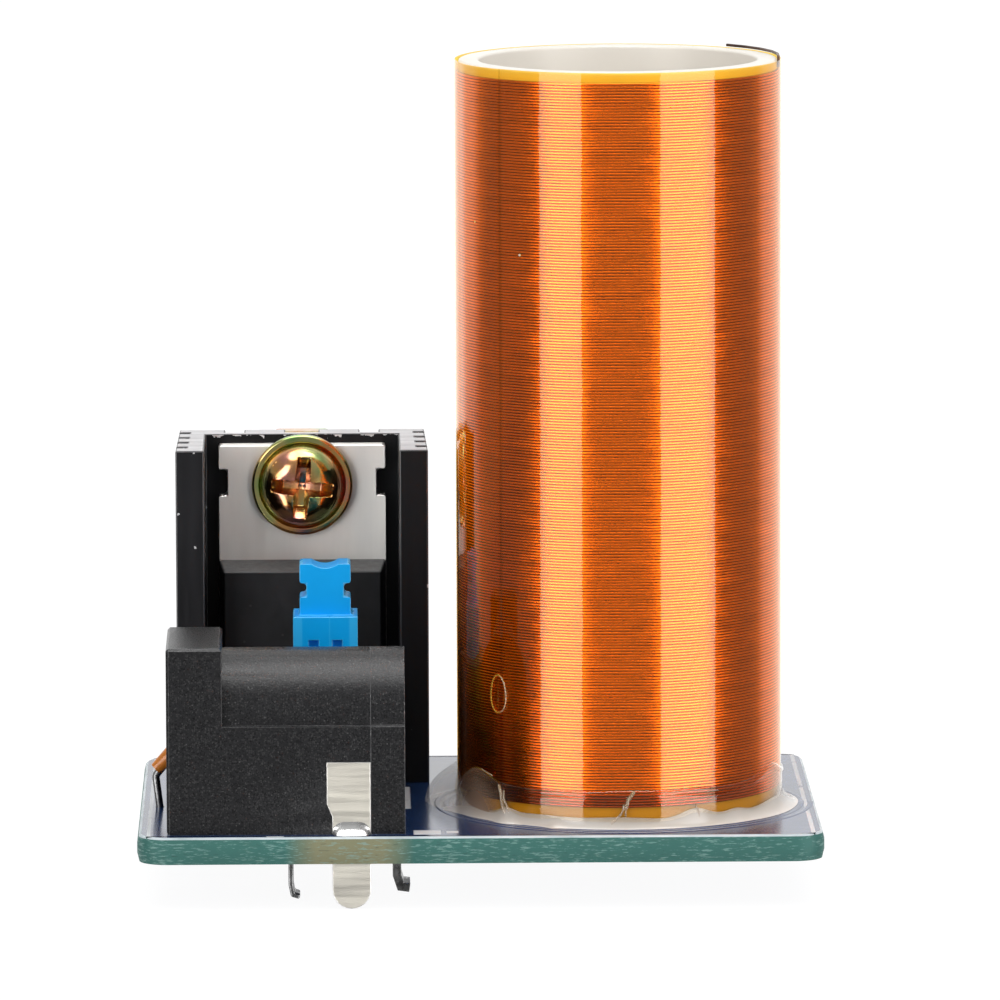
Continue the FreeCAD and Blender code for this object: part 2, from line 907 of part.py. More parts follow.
def make_jack_housing():
    left = across(jack_from_left)
    flange_end = left + jack_flange
    parting = across(jack_parting_from_left)
    front = deep(jack_from_front)
    middle = deep(jack_axis_from_front)
    flange = block(left, flange_end, front, front + jack_width, 0, jack_height)
    uprights = [
        edge for edge in flange.Edges
        if abs(edge.BoundBox.XMax - left) < jack_edge_chamfer
        or edge.BoundBox.ZMin > jack_height - jack_edge_chamfer
    ]
    flange = flange.makeChamfer(jack_edge_chamfer, uprights)
    body = fused([flange, jack_profile(flange_end, parting)])
    mouth = left + socket_mouth_chamfer
    bore_end = left + socket_depth
    axis_start = Vector(left - overrun, middle, barrel_axis_height)
    flare = Part.makeCone(socket_radius + socket_mouth_chamfer, socket_radius, socket_mouth_chamfer,
                          Vector(left, middle, barrel_axis_height), Vector(1, 0, 0))
    cuts = [
        flare,
        rod_along(axis_start, Vector(1, 0, 0), bore_end - axis_start.x, socket_radius),
        rod_along(Vector(mouth, middle, barrel_axis_height), Vector(1, 0, 0),
                  parting + overrun - mouth, pin_stem_radius),
    ]
    slot_left = across(sleeve_terminal_from_left) - sleeve_terminal_thickness / 2
    slot_half = sleeve_terminal_width / 2
    cuts.append(block(slot_left, slot_left + sleeve_terminal_thickness, middle - slot_half,
                      middle + slot_half, -overrun, sleeve_terminal_top))
    tongue_left, tongue_right, _, tongue_back, tongue_low, tongue_high = side_tongue()
    pocket_half = spring_leaf_width / 2 + spring_pocket_clearance
    spring_end = across(spring_pivot_from_left) + spring_leaf_length
    pocket_right = max(spring_end, tongue_right) + spring_pocket_clearance
    pocket_floor = spring_pivot_height - spring_pocket_depth
    pocket_top = spring_pivot_height + spring_bump_rise
    cuts.append(block(slot_left + sleeve_terminal_thickness, pocket_right, middle - pocket_half,
                      middle + pocket_half, pocket_floor, tongue_high))
    cuts.append(block(slot_left + sleeve_terminal_thickness, bore_end, middle - pocket_half,
                      middle + pocket_half, pocket_floor, pocket_top))
    cuts.append(block(tongue_left, tongue_right, front - overrun, tongue_back, tongue_low, tongue_high))
    cuts.append(side_prism(side_terminal_outline(), front - overrun, front + side_terminal_thickness))
    return body.cut(cuts)


def make_jack_cap():
    parting = across(jack_parting_from_left)
    end = across(jack_end_from_left)
    middle = deep(jack_axis_from_front)
    half = pin_terminal_width / 2 + pin_terminal_clearance
    channel_left = across(pin_terminal_from_left) - pin_terminal_thickness / 2
    channel = block(channel_left, end + overrun, middle - half, middle + half, -overrun,
                    pin_terminal_top + pin_terminal_clearance)
    stem = rod_along(Vector(parting - overrun, middle, barrel_axis_height), Vector(1, 0, 0),
                     jack_cap + 2 * overrun, pin_stem_radius)
    return jack_profile(parting, end).cut([channel, stem])


def make_center_pin():
    """Round pin, its stem through the socket's end wall, and the riveted head behind the terminal."""
    left = across(jack_from_left) + pin_recess
    bore_end = across(jack_from_left) + socket_depth
    terminal_back = across(pin_terminal_from_left) + pin_terminal_thickness / 2
    rivet_end = terminal_back + pin_rivet_height
    middle = deep(jack_axis_from_front)
    stations = [
        (left, 0), (left, pin_radius - pin_tip_chamfer), (left + pin_tip_chamfer, pin_radius),
        (bore_end, pin_radius), (bore_end, pin_stem_radius), (terminal_back, pin_stem_radius),
        (terminal_back, pin_rivet_radius), (rivet_end, pin_rivet_radius), (rivet_end, 0),
    ]
    profile = [Vector(x, middle, barrel_axis_height + r) for x, r in stations]
    return turned(profile, Vector(left, middle, barrel_axis_height), Vector(1, 0, 0))


# Push switch
switch_x = across(switch_from_left)
switch_y = deep(switch_from_front)
slider_inner = button_width / 2
slider_outer = slider_inner + slider_thickness
switch_pin_x = slider_outer + slider_gap + switch_pin_thickness / 2


def switch_pin_places():
    return [
        (switch_x + side * switch_pin_x, switch_y + row * switch_pin_pitch)
        for side in (-1, 1) for row in (-1, 0, 1)
    ]


def make_switch_pins():
    return Part.makeCompound([
        centered_block(x, y, switch_pin_thickness, switch_pin_width,
                       board_under - switch_pin_tail, switch_pin_top)
        for x, y in switch_pin_places()
    ])


def make_switch_base(pins):
    plate = centered_block(switch_x, switch_y, switch_size, switch_size, 0, switch_base_height)
    foot_radius = latch_wire_diameter / 2 + latch_foot_clearance
    foot_floor = switch_base_height - latch_foot_depth - latch_foot_clearance
    socket = rod(switch_x, switch_y + latch_wire_offset, foot_floor, switch_base_height + overrun,
                 foot_radius)
    return plate.cut([socket, pins])


def make_switch_cover():
    outer = centered_block(switch_x, switch_y, switch_size, switch_size, switch_base_height,
                           switch_height)
    top_edges = [edge for edge in outer.Edges if edge.BoundBox.ZMin > switch_height - switch_edge_chamfer]
    outer = outer.makeChamfer(switch_edge_chamfer, top_edges)
    inside = switch_size - 2 * switch_wall
    cavity = centered_block(switch_x, switch_y, inside, inside, switch_base_height - overrun,
                            switch_height - switch_top_wall)
    guide = centered_block(switch_x, switch_y, button_width + 2 * guide_clearance,
                           button_thickness + 2 * guide_clearance, switch_base_height,
                           switch_height + overrun)
    return outer.cut([cavity, guide])


def make_button():
    """Stem with a necked head, side wings that stop it, and the heart-shaped cam in its back."""
    parts = [
        centered_block(switch_x, switch_y, button_width, button_thickness, button_foot_height,
                       collar_top),
        centered_block(switch_x, switch_y, head_width, head_thickness, collar_top, shoulder_top),
        centered_block(switch_x, switch_y, neck_width, head_thickness, shoulder_top, neck_top),
        centered_block(switch_x, switch_y, head_width, head_thickness, neck_top, button_top),
    ]
    wing_top = switch_height - switch_top_wall - wing_top_gap
    parts.append(centered_block(switch_x, switch_y, 2 * wing_reach, wing_width,
                                wing_top - wing_thickness, wing_top))
    body = fused(parts)
    back = switch_y + button_thickness / 2
    front = switch_y - button_thickness / 2
    cuts = [rod(switch_x, switch_y, button_foot_height - overrun, spring_bore_top, spring_bore_radius)]
    for side in (-1, 1):
        cuts.append(block(switch_x + side * slot_spacing / 2 - slot_width / 2,
                          switch_x + side * slot_spacing / 2 + slot_width / 2,
                          front - overrun, front + slot_depth, slot_top - slot_height, slot_top))
    notch_radius = (head_notch_width ** 2 / 4 + head_notch_depth ** 2) / (2 * head_notch_depth)
    notch_start = Vector(switch_x, switch_y - head_thickness, button_top + notch_radius - head_notch_depth)
    cuts.append(rod_along(notch_start, Vector(0, 1, 0), 2 * head_thickness, notch_radius))
    cam_low = latch_tip_height - cam_below_tip
    cam_high = latch_tip_height + button_stroke + cam_above_stroke
    cuts.append(block(switch_x - cam_width / 2, switch_x + cam_width / 2, back - cam_depth,
                      back + overrun, cam_low, cam_high))
    heart_x = switch_x + heart_shift
    heart_low = latch_tip_height + heart_above_tip
    shoulder = heart_low + heart_height * heart_shoulder_share
    heart = [
        (heart_x, heart_low), (heart_x + heart_width / 2, shoulder),
        (heart_x + heart_width / 2, heart_low + heart_height),
        (heart_x, heart_low + heart_height * heart_notch_share),
        (heart_x - heart_width / 2, heart_low + heart_height), (heart_x - heart_width / 2, shoulder),
    ]
    island = side_prism(heart, back - cam_depth, back)
    return body.cut(cuts).fuse(island).removeSplitter()


def make_return_spring():
    radius = return_spring_wire / 2
    low = switch_base_height + radius + return_spring_end_gap
    high = spring_bore_top - radius - return_spring_end_gap
    pitch = (high - low) / return_spring_turns
    start = Vector(switch_x, switch_y, low)
    path = helix_wire(start, return_spring_radius, pitch, return_spring_turns, 4)
    return swept_round(path, radius)


def make_latch_wire():
    y = switch_y + latch_wire_offset
    tip = switch_y + button_thickness / 2 - cam_depth + latch_tip_gap
    points = [
        Vector(switch_x, y, switch_base_height - latch_foot_depth),
        Vector(switch_x, y, latch_tip_height),
        Vector(switch_x, tip, latch_tip_height),
    ]
    return bent_bar(points, latch_wire_diameter / 2, latch_bend_radius)


def make_sliders():
    sliders = []
    for side in (-1, 1):
        x0, x1 = sorted((switch_x + side * slider_inner, switch_x + side * slider_outer))
        sliders.append(block(x0, x1, switch_y - slider_length / 2, switch_y + slider_length / 2,
                             slider_foot, slider_foot + slider_height))
    return Part.makeCompound(sliders)


# Resistor, diode and capacitor
def axial_leads(from_left, from_front, body_length, body_radius, pitch):
    x = across(from_left)
    y = deep(from_front)
    z = axial_stand_off + body_radius
    leads = []
    for side in (-1, 1):
        leads.append(bent_bar([
            Vector(x + side * body_length / 2, y, z),
            Vector(x + side * pitch / 2, y, z),
            Vector(x + side * pitch / 2, y, board_under - axial_lead_tail),
        ], axial_lead_radius, axial_lead_bend))
    return Part.makeCompound(leads)


def make_resistor_body():
    x = across(resistor_from_left)
    y = deep(resistor_from_front)
    z = axial_stand_off + resistor_radius
    half = resistor_length / 2
    waist = half - resistor_cap_length
    ramp = resistor_cap_ramp
    stations = [
        (-half, 0), (-half, resistor_waist_radius), (-half + ramp, resistor_radius),
        (-waist - ramp, resistor_radius), (-waist, resistor_waist_radius),
        (waist, resistor_waist_radius), (waist + ramp, resistor_radius),
        (half - ramp, resistor_radius), (half, resistor_waist_radius), (half, 0),
    ]
    profile = [Vector(x + along, y, z + radius) for along, radius in stations]
    return turned(profile, Vector(x, y, z), Vector(1, 0, 0))


def make_diode_body():
    x = across(diode_from_left)
    y = deep(diode_from_front)
    z = axial_stand_off + diode_radius
    barrel = rod_along(Vector(x - diode_length / 2, y, z), Vector(1, 0, 0), diode_length, diode_radius)
    ends = [edge for edge in barrel.Edges if edge.BoundBox.XLength < diode_end_fillet]
    return barrel.makeFillet(diode_end_fillet, ends)


def capacitor_sides():
    """For each lead: its foot, knee and coated top, from the board's left."""
    left_foot = capacitor_foot_from_left
    right_foot = left_foot + capacitor_pitch
    top = capacitor_radius - capacitor_coat_inset
    return [
        (left_foot, left_foot - capacitor_knee_spread, capacitor_from_left - top),
        (right_foot, right_foot + capacitor_right_knee_spread, capacitor_from_left + top),
    ]


def make_capacitor_body():
    y = deep(capacitor_from_front)
    disc = rod_along(Vector(across(capacitor_from_left), y - capacitor_thickness / 2,
                            capacitor_center_height), Vector(0, 1, 0), capacitor_thickness,
                     capacitor_radius)
    rims = [edge for edge in disc.Edges if edge.BoundBox.YLength < capacitor_edge_fillet]
    disc = disc.makeFillet(capacitor_edge_fillet, rims)
    parts = [disc]
    for _, knee, coat in capacitor_sides():
        top = Vector(across(coat), y, capacitor_coat_height)
        low = Vector(across(knee), y, capacitor_knee_height + capacitor_lead_bend)
        run = low - top
        parts.append(Part.makeCone(capacitor_coat_radius, capacitor_coat_tip_radius, run.Length, top, run))
        parts.append(Part.makeSphere(capacitor_coat_radius, top))
    return fused(parts)


def make_capacitor_leads(body):
    y = deep(capacitor_from_front)
    leads = []
    for foot, knee, coat in capacitor_sides():
        leads.append(bent_bar([
            Vector(across(coat), y, capacitor_coat_height),
            Vector(across(knee), y, capacitor_knee_height),
            Vector(across(foot), y, 0),
            Vector(across(foot), y, board_under - capacitor_lead_tail),
        ], capacitor_lead_radius, capacitor_lead_bend))
    return Part.makeCompound(leads).cut(body)


# Circuit board with scored edges and a hole or slot for each lead
def blade_slots():
    """Places and sizes of the flat terminals that pass through the board."""
    middle = deep(jack_axis_from_front)
    side_x = across(jack_from_left + side_terminal_from_left + side_terminal_width
                    - side_terminal_tail_width / 2)
    side_y = deep(jack_from_front) + side_terminal_thickness / 2
    places = [
        (across(pin_terminal_from_left), middle, pin_terminal_thickness, pin_terminal_width),
        (across(sleeve_terminal_from_left), middle, sleeve_terminal_thickness, sleeve_terminal_width),
        (side_x, side_y, side_terminal_tail_width, side_terminal_thickness),
    ]
    places += [(x, y, switch_pin_thickness, switch_pin_width) for x, y in switch_pin_places()]
    places += [(x, y, lead_width, lead_thickness) for x, y in transistor_lead_places()]
    return places


def round_leads():
    """Places and radii of the round leads that pass through the board."""
    places = []
    for from_left, from_front, pitch in (
        (resistor_from_left, resistor_from_front, resistor_pitch),
        (diode_from_left, diode_from_front, diode_pitch),
    ):
        places += [
            (across(from_left) + side * pitch / 2, deep(from_front), axial_lead_radius)
            for side in (-1, 1)
        ]
    for foot, _, _ in capacitor_sides():
        places.append((across(foot), deep(capacitor_from_front), capacitor_lead_radius))
    lead = polar(film_radius + base_lead_reach, base_lead_angle, 0)
    places.append((lead.x, lead.y, wire_build / 2))
    return places


def make_board():
    left = board_left
    right = left + board_width
    front = board_front
    back = front + board_depth
    levels = [
        (0, score_bevel), (-score_depth, 0), (score_depth - board_thickness, 0),
        (-board_thickness, score_bevel),
    ]
    wires = [
        rounded_rectangle(left + inset, right - inset, front + inset, back - inset, z,
                          board_corner_radius - inset)
        for z, inset in levels
    ]
    body = Part.makeLoft(wires, True, True)
    low = board_under - overrun
    gap = 2 * lead_hole_clearance
    cuts = [centered_block(x, y, dx + gap, dy + gap, low, overrun) for x, y, dx, dy in blade_slots()]
    cuts += [rod(x, y, low, overrun, radius + lead_hole_clearance) for x, y, radius in round_leads()]
    return body.cut(cuts)


def make_solder(leads):
    """A small cone round each lead under the board, and the fillet at the foot of the side terminal."""
    mounds = []
    low = board_under - solder_height
    for x, y, radius in round_leads():
        spread = solder_radius - capacitor_lead_radius + radius
        cone = Part.makeCone(solder_tip_radius, spread, solder_height, Vector(x, y, low))
        mounds.append(cone)
    side_x, side_y, side_dx, side_dy = blade_slots()[2]
    for x, y, dx, dy in blade_slots():
        if (x, y) == (side_x, side_y):
            continue
        wide = 2 * solder_margin
        slim = 2 * solder_tip_margin
        top = centered_outline(x, y, dx + wide, dy + wide, board_under)
        tip = centered_outline(x, y, dx + slim, dy + slim, low)
        mounds.append(Part.makeLoft([top, tip], True, True))
    front = side_y - side_dy / 2
    half = side_dx / 2
    fillet = [
        Vector(side_x - half, front, 0), Vector(side_x - half, front - solder_margin, 0),
        Vector(side_x - half, front, solder_foot_height),
    ]
    mounds.append(prism(fillet, Vector(side_dx, 0, 0)))
    return Part.makeCompound([mound.cut(leads) for mound in mounds])


def centered_outline(x, y, dx, dy, z):
    corners = [(-dx, -dy), (dx, -dy), (dx, dy), (-dx, dy)]
    points = [Vector(x + cx / 2, y + cy / 2, z) for cx, cy in corners]
    return Part.makePolygon(points + [points[0]])


base_lead = make_base_lead()
switch_pins = make_switch_pins()
transistor_leads = make_transistor_leads()
resistor_leads = axial_leads(resistor_from_left, resistor_from_front, resistor_length,
                             resistor_radius, resistor_pitch)
diode_leads = axial_leads(diode_from_left, diode_from_front, diode_length, diode_radius, diode_pitch)
capacitor_body = make_capacitor_body()
capacitor_leads = make_capacitor_leads(capacitor_body)
pin_terminal = make_pin_terminal()
sleeve_terminal = make_sleeve_terminal()
side_terminal = make_side_terminal()
soldered = [base_lead, switch_pins, transistor_leads, resistor_leads, diode_leads, capacitor_leads,
            pin_terminal, sleeve_terminal, side_terminal]

save("circuit_board", make_board())
save("primary_spiral", make_spiral())
save("coil_former", make_former())
save("secondary_winding", make_winding())
save("wrap_film", make_film(base_lead))
save("winding_top_tail", make_top_tail())
save("winding_base_lead", base_lead)
save("glue_bead", make_glue(base_lead))
save("heatsink", make_heatsink())
save("transistor_tab", make_tab())
save("transistor_case", make_case())
save("transistor_leads", transistor_leads)
save("heatsink_screw", make_screw())
save("heatsink_nut", make_nut())
save("jack_housing", make_jack_housing())
save("jack_rear_cap", make_jack_cap())
save("jack_center_pin", make_center_pin())
save("jack_pin_terminal", pin_terminal)
save("jack_sleeve_terminal", sleeve_terminal)
save("jack_sleeve_spring", make_sleeve_spring())
save("jack_side_terminal", side_terminal)
save("switch_base", make_switch_base(switch_pins))
save("switch_cover", make_switch_cover())
save("switch_button", make_button())
save("switch_return_spring", make_return_spring())
save("switch_latch_wire", make_latch_wire())
save("switch_sliders", make_sliders())
save("switch_pins", switch_pins)
save("resistor_body", make_resistor_body())
save("resistor_leads", resistor_leads)
save("diode_body", make_diode_body())
save("diode_leads", diode_leads)
save("capacitor_body", capacitor_body)
save("capacitor_leads", capacitor_leads)
save("solder_joints", make_solder(soldered))
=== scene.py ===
"""Desktop resonant transformer: a wound coil on a small printed board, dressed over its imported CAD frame.

Every piece takes its place from the frame's nodes, in metres, with the tube's axis at x = y = 0
and the board's top face at z = 0.
"""
import json
from math import cos, pi, radians, sin, tan

import bmesh
import bpy
import numpy as np
from bpy.props import FloatProperty, FloatVectorProperty, IntProperty, PointerProperty
from mathutils import Matrix, Vector

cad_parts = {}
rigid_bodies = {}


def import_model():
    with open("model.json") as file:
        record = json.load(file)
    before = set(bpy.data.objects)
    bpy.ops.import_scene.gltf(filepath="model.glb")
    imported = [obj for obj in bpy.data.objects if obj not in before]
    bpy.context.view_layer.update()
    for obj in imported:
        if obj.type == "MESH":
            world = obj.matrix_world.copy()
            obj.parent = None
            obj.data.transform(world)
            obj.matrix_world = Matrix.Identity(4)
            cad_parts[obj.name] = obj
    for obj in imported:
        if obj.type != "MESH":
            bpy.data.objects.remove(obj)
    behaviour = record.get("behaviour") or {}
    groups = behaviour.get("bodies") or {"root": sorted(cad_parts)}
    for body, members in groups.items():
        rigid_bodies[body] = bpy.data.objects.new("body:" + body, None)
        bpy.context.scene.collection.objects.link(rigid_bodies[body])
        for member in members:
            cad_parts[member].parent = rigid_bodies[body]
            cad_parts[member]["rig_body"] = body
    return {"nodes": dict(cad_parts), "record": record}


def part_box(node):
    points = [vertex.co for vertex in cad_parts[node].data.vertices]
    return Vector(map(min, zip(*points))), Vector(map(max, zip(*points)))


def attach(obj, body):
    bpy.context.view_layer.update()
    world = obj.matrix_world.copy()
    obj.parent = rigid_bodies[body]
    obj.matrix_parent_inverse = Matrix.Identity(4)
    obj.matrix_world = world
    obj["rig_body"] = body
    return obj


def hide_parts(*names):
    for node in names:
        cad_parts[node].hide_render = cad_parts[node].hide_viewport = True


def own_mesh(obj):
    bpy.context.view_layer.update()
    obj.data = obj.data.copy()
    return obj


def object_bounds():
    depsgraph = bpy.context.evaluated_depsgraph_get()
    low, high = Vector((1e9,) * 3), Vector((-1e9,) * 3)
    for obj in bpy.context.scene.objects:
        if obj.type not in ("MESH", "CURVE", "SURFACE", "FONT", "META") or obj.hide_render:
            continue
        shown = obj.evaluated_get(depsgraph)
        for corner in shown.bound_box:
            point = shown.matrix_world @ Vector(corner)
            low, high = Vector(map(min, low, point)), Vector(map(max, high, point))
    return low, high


bl_info = {
    "name": "Desktop Resonant Transformer",
    "version": (1, 0, 0),
    "blender": (4, 5, 0),
    "location": "3D View > Sidebar > Transformer",
    "description": "Dresses the packed frame of a small resonant transformer on a printed board",
    "category": "Add Mesh",
}

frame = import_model()
nodes = frame["nodes"]
cad_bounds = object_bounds()

MM = 0.001

# The coil's layers: radii in millimetres, and the angle in degrees, counted from +x, where the film's lap ends
WIRE_INSIDE, WIRE_OUTSIDE = 9.40, 9.57
FILM_INSIDE, FILM_OUTSIDE = 9.585, 9.625
FILM_SEAM = -137.5


# Places read from the frame

def low(node):
    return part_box(node)[0]


def high(node):
    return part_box(node)[1]


def middle(node):
    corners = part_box(node)
    return (corners[0] + corners[1]) / 2


# Colours

def srgb(red, green, blue):
    """A colour read off a picture, 0 to 255 a channel, as linear light: ((c + 0.055) / 1.055) ** 2.4."""
    share = np.array([red, green, blue]) / 255.0
    linear = np.where(share <= 0.04045, share / 12.92, ((share + 0.055) / 1.055) ** 2.4)
    return tuple(float(value) for value in linear)


def colour_property(name, description, default):
    return FloatVectorProperty(name=name, description=description, subtype="COLOR", size=3,
                               min=0.0, max=1.0, default=default)


# Sizes and colours that a user would change

class StudioSettings(bpy.types.PropertyGroup):
    lens: FloatProperty(name="Lens", description="Focal length on a 36 mm sensor", subtype="DISTANCE_CAMERA",
                        default=372.98)
    camera_place: FloatVectorProperty(name="Camera place", description="Where the camera stands",
                                      subtype="TRANSLATION", size=3, default=(-0.017142, -0.607928, 0.100137))
    camera_turn: FloatProperty(name="Camera turn", description="Turn about the vertical", subtype="ANGLE",
                               default=radians(-0.9542))
    camera_tilt: FloatProperty(name="Camera tilt", description="Tilt below the horizontal", subtype="ANGLE",
                               default=radians(7.6764))
    camera_roll: FloatProperty(name="Camera roll", description="Roll about the view's line", subtype="ANGLE",
                               default=radians(-0.2001))
    ambient: FloatProperty(name="Ambient", description="Strength of the world's light on dull surfaces",
                           default=0.50)
    dark_front: FloatProperty(name="Dark front", description="What gloss sees straight in front of the object",
                              default=0.38)
    dark_side: FloatProperty(name="Dark side", description="What gloss sees beside the object", default=0.34)
    back_level: FloatProperty(name="Back level", description="What gloss sees straight behind the object",
                              default=1.25)
    box_gloss: FloatProperty(name="Softbox gloss", description="What gloss sees where a softbox stands",
                             default=5.4)
    overhead_gloss: FloatProperty(name="Overhead gloss", description="What gloss sees straight above the object",
                                  default=6.2)
    box_radiance: FloatProperty(name="Softbox radiance", default=2.0,
                                description="Light of the two tall softboxes on dull surfaces")
    top_radiance: FloatProperty(name="Top radiance", description="Brightness of the lamp overhead", default=2.0)


class CoilSettings(bpy.types.PropertyGroup):
    turns: IntProperty(name="Turns", description="Turns of wire on the tube", default=253)
    wire_colour: colour_property("Wire", "Enamelled copper under the film", (0.97, 0.375, 0.20))
    film_tint: colour_property("Film tint", "What one face of the amber film lets through", (1.0, 0.84, 0.37))
    tube_colour: colour_property("Tube", "Moulded plastic of the coil's tube", srgb(246, 240, 230))
    glue_colour: colour_property("Glue", "Hot glue round the coil's foot", (0.93, 0.87, 0.80))


class BoardSettings(bpy.types.PropertyGroup):
    mask_colour: colour_property("Solder mask", "Navy lacquer on both faces", (0.010, 0.030, 0.095))
    laminate_colour: colour_property("Laminate", "Glass and resin seen at the board's edges", srgb(43, 95, 88))
    print_colour: colour_property("Print", "White print on the lacquer", srgb(222, 226, 228))


class PartSettings(bpy.types.PropertyGroup):
    anodised_colour: colour_property("Anodised", "Black anodised aluminium", (0.0060, 0.0060, 0.0068))
    moulding_colour: colour_property("Moulding", "Black moulded plastic", (0.0065, 0.0065, 0.0072))
    button_colour: colour_property("Button", "Blue push button", srgb(0, 172, 252))
    tin_colour: colour_property("Tin", "Tinned leads and terminals", (0.74, 0.73, 0.70))
    zinc_colour: colour_property("Zinc", "Yellow passivated zinc", (0.46, 0.41, 0.17))


# Shader trees

def add_node(tree, kind, inputs=None, **settings):
    """Adds a node with its own settings, and sets or links its inputs by name or number."""
    node = tree.nodes.new(kind)
    for name, value in settings.items():
        setattr(node, name, value)
    for socket, value in (inputs or {}).items():
        if isinstance(value, bpy.types.NodeSocket):
            tree.links.new(value, node.inputs[socket])
        else:
            node.inputs[socket].default_value = value
    return node


def maths(tree, operation, *values):
    """The result of one operation on two or three numbers or sockets."""
    return add_node(tree, "ShaderNodeMath", dict(enumerate(values)), operation=operation).outputs[0]


def mapped(tree, value, from_min=0.0, from_max=1.0, to_min=0.0, to_max=1.0):
    """A value carried from one range to another and held within it."""
    return add_node(tree, "ShaderNodeMapRange", {"Value": value, "From Min": from_min, "From Max": from_max,
                                                 "To Min": to_min, "To Max": to_max}).outputs[0]


def mixed(tree, share, colour, other):
    """A colour, and more of the other one as the share grows."""
    return add_node(tree, "ShaderNodeMix", {0: share, 6: colour, 7: other}, data_type="RGBA").outputs[2]


def blended(tree, share, value, other):
    """A number, and more of the other one as the share grows."""
    return add_node(tree, "ShaderNodeMix", {0: share, 2: value, 3: other}).outputs[0]


def own_place(tree, stretch=None):
    """The place on the object, each of its parts multiplied by the stretch's."""
    place = add_node(tree, "ShaderNodeTexCoord").outputs["Object"]
    if stretch is None:
        return place
    return add_node(tree, "ShaderNodeVectorMath", {0: place, 1: stretch}, operation="MULTIPLY").outputs[0]


def noise_at(tree, place, scale, detail, **rest):
    """Soft noise between nought and one."""
    return add_node(tree, "ShaderNodeTexNoise", {"Vector": place, "Scale": scale, "Detail": detail,
                                                 **rest}).outputs["Fac"]


def raised(tree, height, strength, depth):
    """The normal of a surface that a height in shares of a depth in millimetres makes uneven."""
    return add_node(tree, "ShaderNodeBump", {"Height": height, "Strength": strength,
                                             "Distance": depth * MM}).outputs["Normal"]


def axes_of(tree, vector):
    """The three parts of a vector."""
    return add_node(tree, "ShaderNodeSeparateXYZ", {0: vector}).outputs


def facing_up(tree):
    """How far the surface faces up: the z of its normal."""
    return axes_of(tree, add_node(tree, "ShaderNodeNewGeometry").outputs["Normal"])["Z"]


def rgba(colour):
    return (colour[0], colour[1], colour[2], 1.0)


def tinted(colour, share):
    """A colour with each channel multiplied."""
    return rgba([channel * share for channel in colour])


def new_material(name):
    material = bpy.data.materials.new(name)
    material.use_nodes = True
    material.node_tree.nodes.clear()
    return material, material.node_tree


def closed(material, shader):
    """The material, with that shader on its surface."""
    add_node(material.node_tree, "ShaderNodeOutputMaterial", {"Surface": shader})
    return material


def principled(tree, base, rough, **sockets):
    """A principled shader; an underscore in the name of a socket stands for a space."""
    rest = {socket.replace("_", " "): value for socket, value in sockets.items()}
    return add_node(tree, "ShaderNodeBsdfPrincipled", {"Base Color": base, "Roughness": rough, **rest}).outputs[0]


def new_group(name, inputs, outputs):
    """A node group with named sockets: inputs are (name, socket type, default), outputs (name, socket type)."""
    group = bpy.data.node_groups.new(name, "ShaderNodeTree")
    for label, kind, default in inputs:
        socket = group.interface.new_socket(name=label, in_out="INPUT", socket_type=kind)
        socket.default_value = default
    for label, kind in outputs:
        group.interface.new_socket(name=label, in_out="OUTPUT", socket_type=kind)
    return group, add_node(group, "NodeGroupInput").outputs, add_node(group, "NodeGroupOutput").inputs


def grain_group():
    """Roughness that wanders between two levels, with the same wandering as a height for a bump."""
    group, given, out = new_group(
        "surface grain",
        [("Scale", "NodeSocketFloat", 400.0), ("Stretch", "NodeSocketVector", (1.0, 1.0, 1.0)),
         ("Smooth", "NodeSocketFloat", 0.3), ("Rough", "NodeSocketFloat", 0.45)],
        [("Roughness", "NodeSocketFloat"), ("Height", "NodeSocketFloat")])
    noise = noise_at(group, own_place(group, given["Stretch"]), given["Scale"], 4.0, Roughness=0.6)
    level = mapped(group, noise, 0.35, 0.65, given["Smooth"], given["Rough"])
    group.links.new(level, out["Roughness"])
    group.links.new(noise, out["Height"])
    return group


def drift_group():
    """Two close colours that drift into each other over the surface."""
    group, given, out = new_group(
        "colour drift",
        [("Colour", "NodeSocketColor", (0.5, 0.5, 0.5, 1.0)),
         ("Other colour", "NodeSocketColor", (0.5, 0.5, 0.5, 1.0)),
         ("Scale", "NodeSocketFloat", 200.0), ("Stretch", "NodeSocketVector", (1.0, 1.0, 1.0))],
        [("Colour", "NodeSocketColor")])
    noise = noise_at(group, own_place(group, given["Stretch"]), given["Scale"], 3.0)
    mix = mixed(group, mapped(group, noise, 0.35, 0.65), given["Colour"], given["Other colour"])
    group.links.new(mix, out["Colour"])
    return group


def speck_group():
    """Scattered specks: one near the centre of the share of cells that is chosen, nought elsewhere."""
    group, given, out = new_group(
        "specks", [("Scale", "NodeSocketFloat", 900.0), ("Size", "NodeSocketFloat", 0.2),
                   ("Share", "NodeSocketFloat", 0.2)],
        [("Mask", "NodeSocketFloat")])
    cells = add_node(group, "ShaderNodeTexVoronoi", {"Vector": own_place(group), "Scale": given["Scale"]})
    near = maths(group, "LESS_THAN", cells.outputs["Distance"], given["Size"])
    chosen = add_node(group, "ShaderNodeSeparateColor", {"Color": cells.outputs["Color"]})
    rare = maths(group, "LESS_THAN", chosen.outputs["Red"], given["Share"])
    shade = mapped(group, chosen.outputs["Green"], to_min=0.35)
    mask = maths(group, "MULTIPLY", maths(group, "MULTIPLY", near, rare), shade)
    group.links.new(mask, out["Mask"])
    return group


GROUPS = {}


def shared(tree, build, inputs):
    """Places a shared effect's group in a tree, and builds the group the first time."""
    if build not in GROUPS:
        GROUPS[build] = build()
    node = tree.nodes.new("ShaderNodeGroup")
    node.node_tree = GROUPS[build]
    for name, value in inputs.items():
        node.inputs[name].default_value = value
    return node.outputs


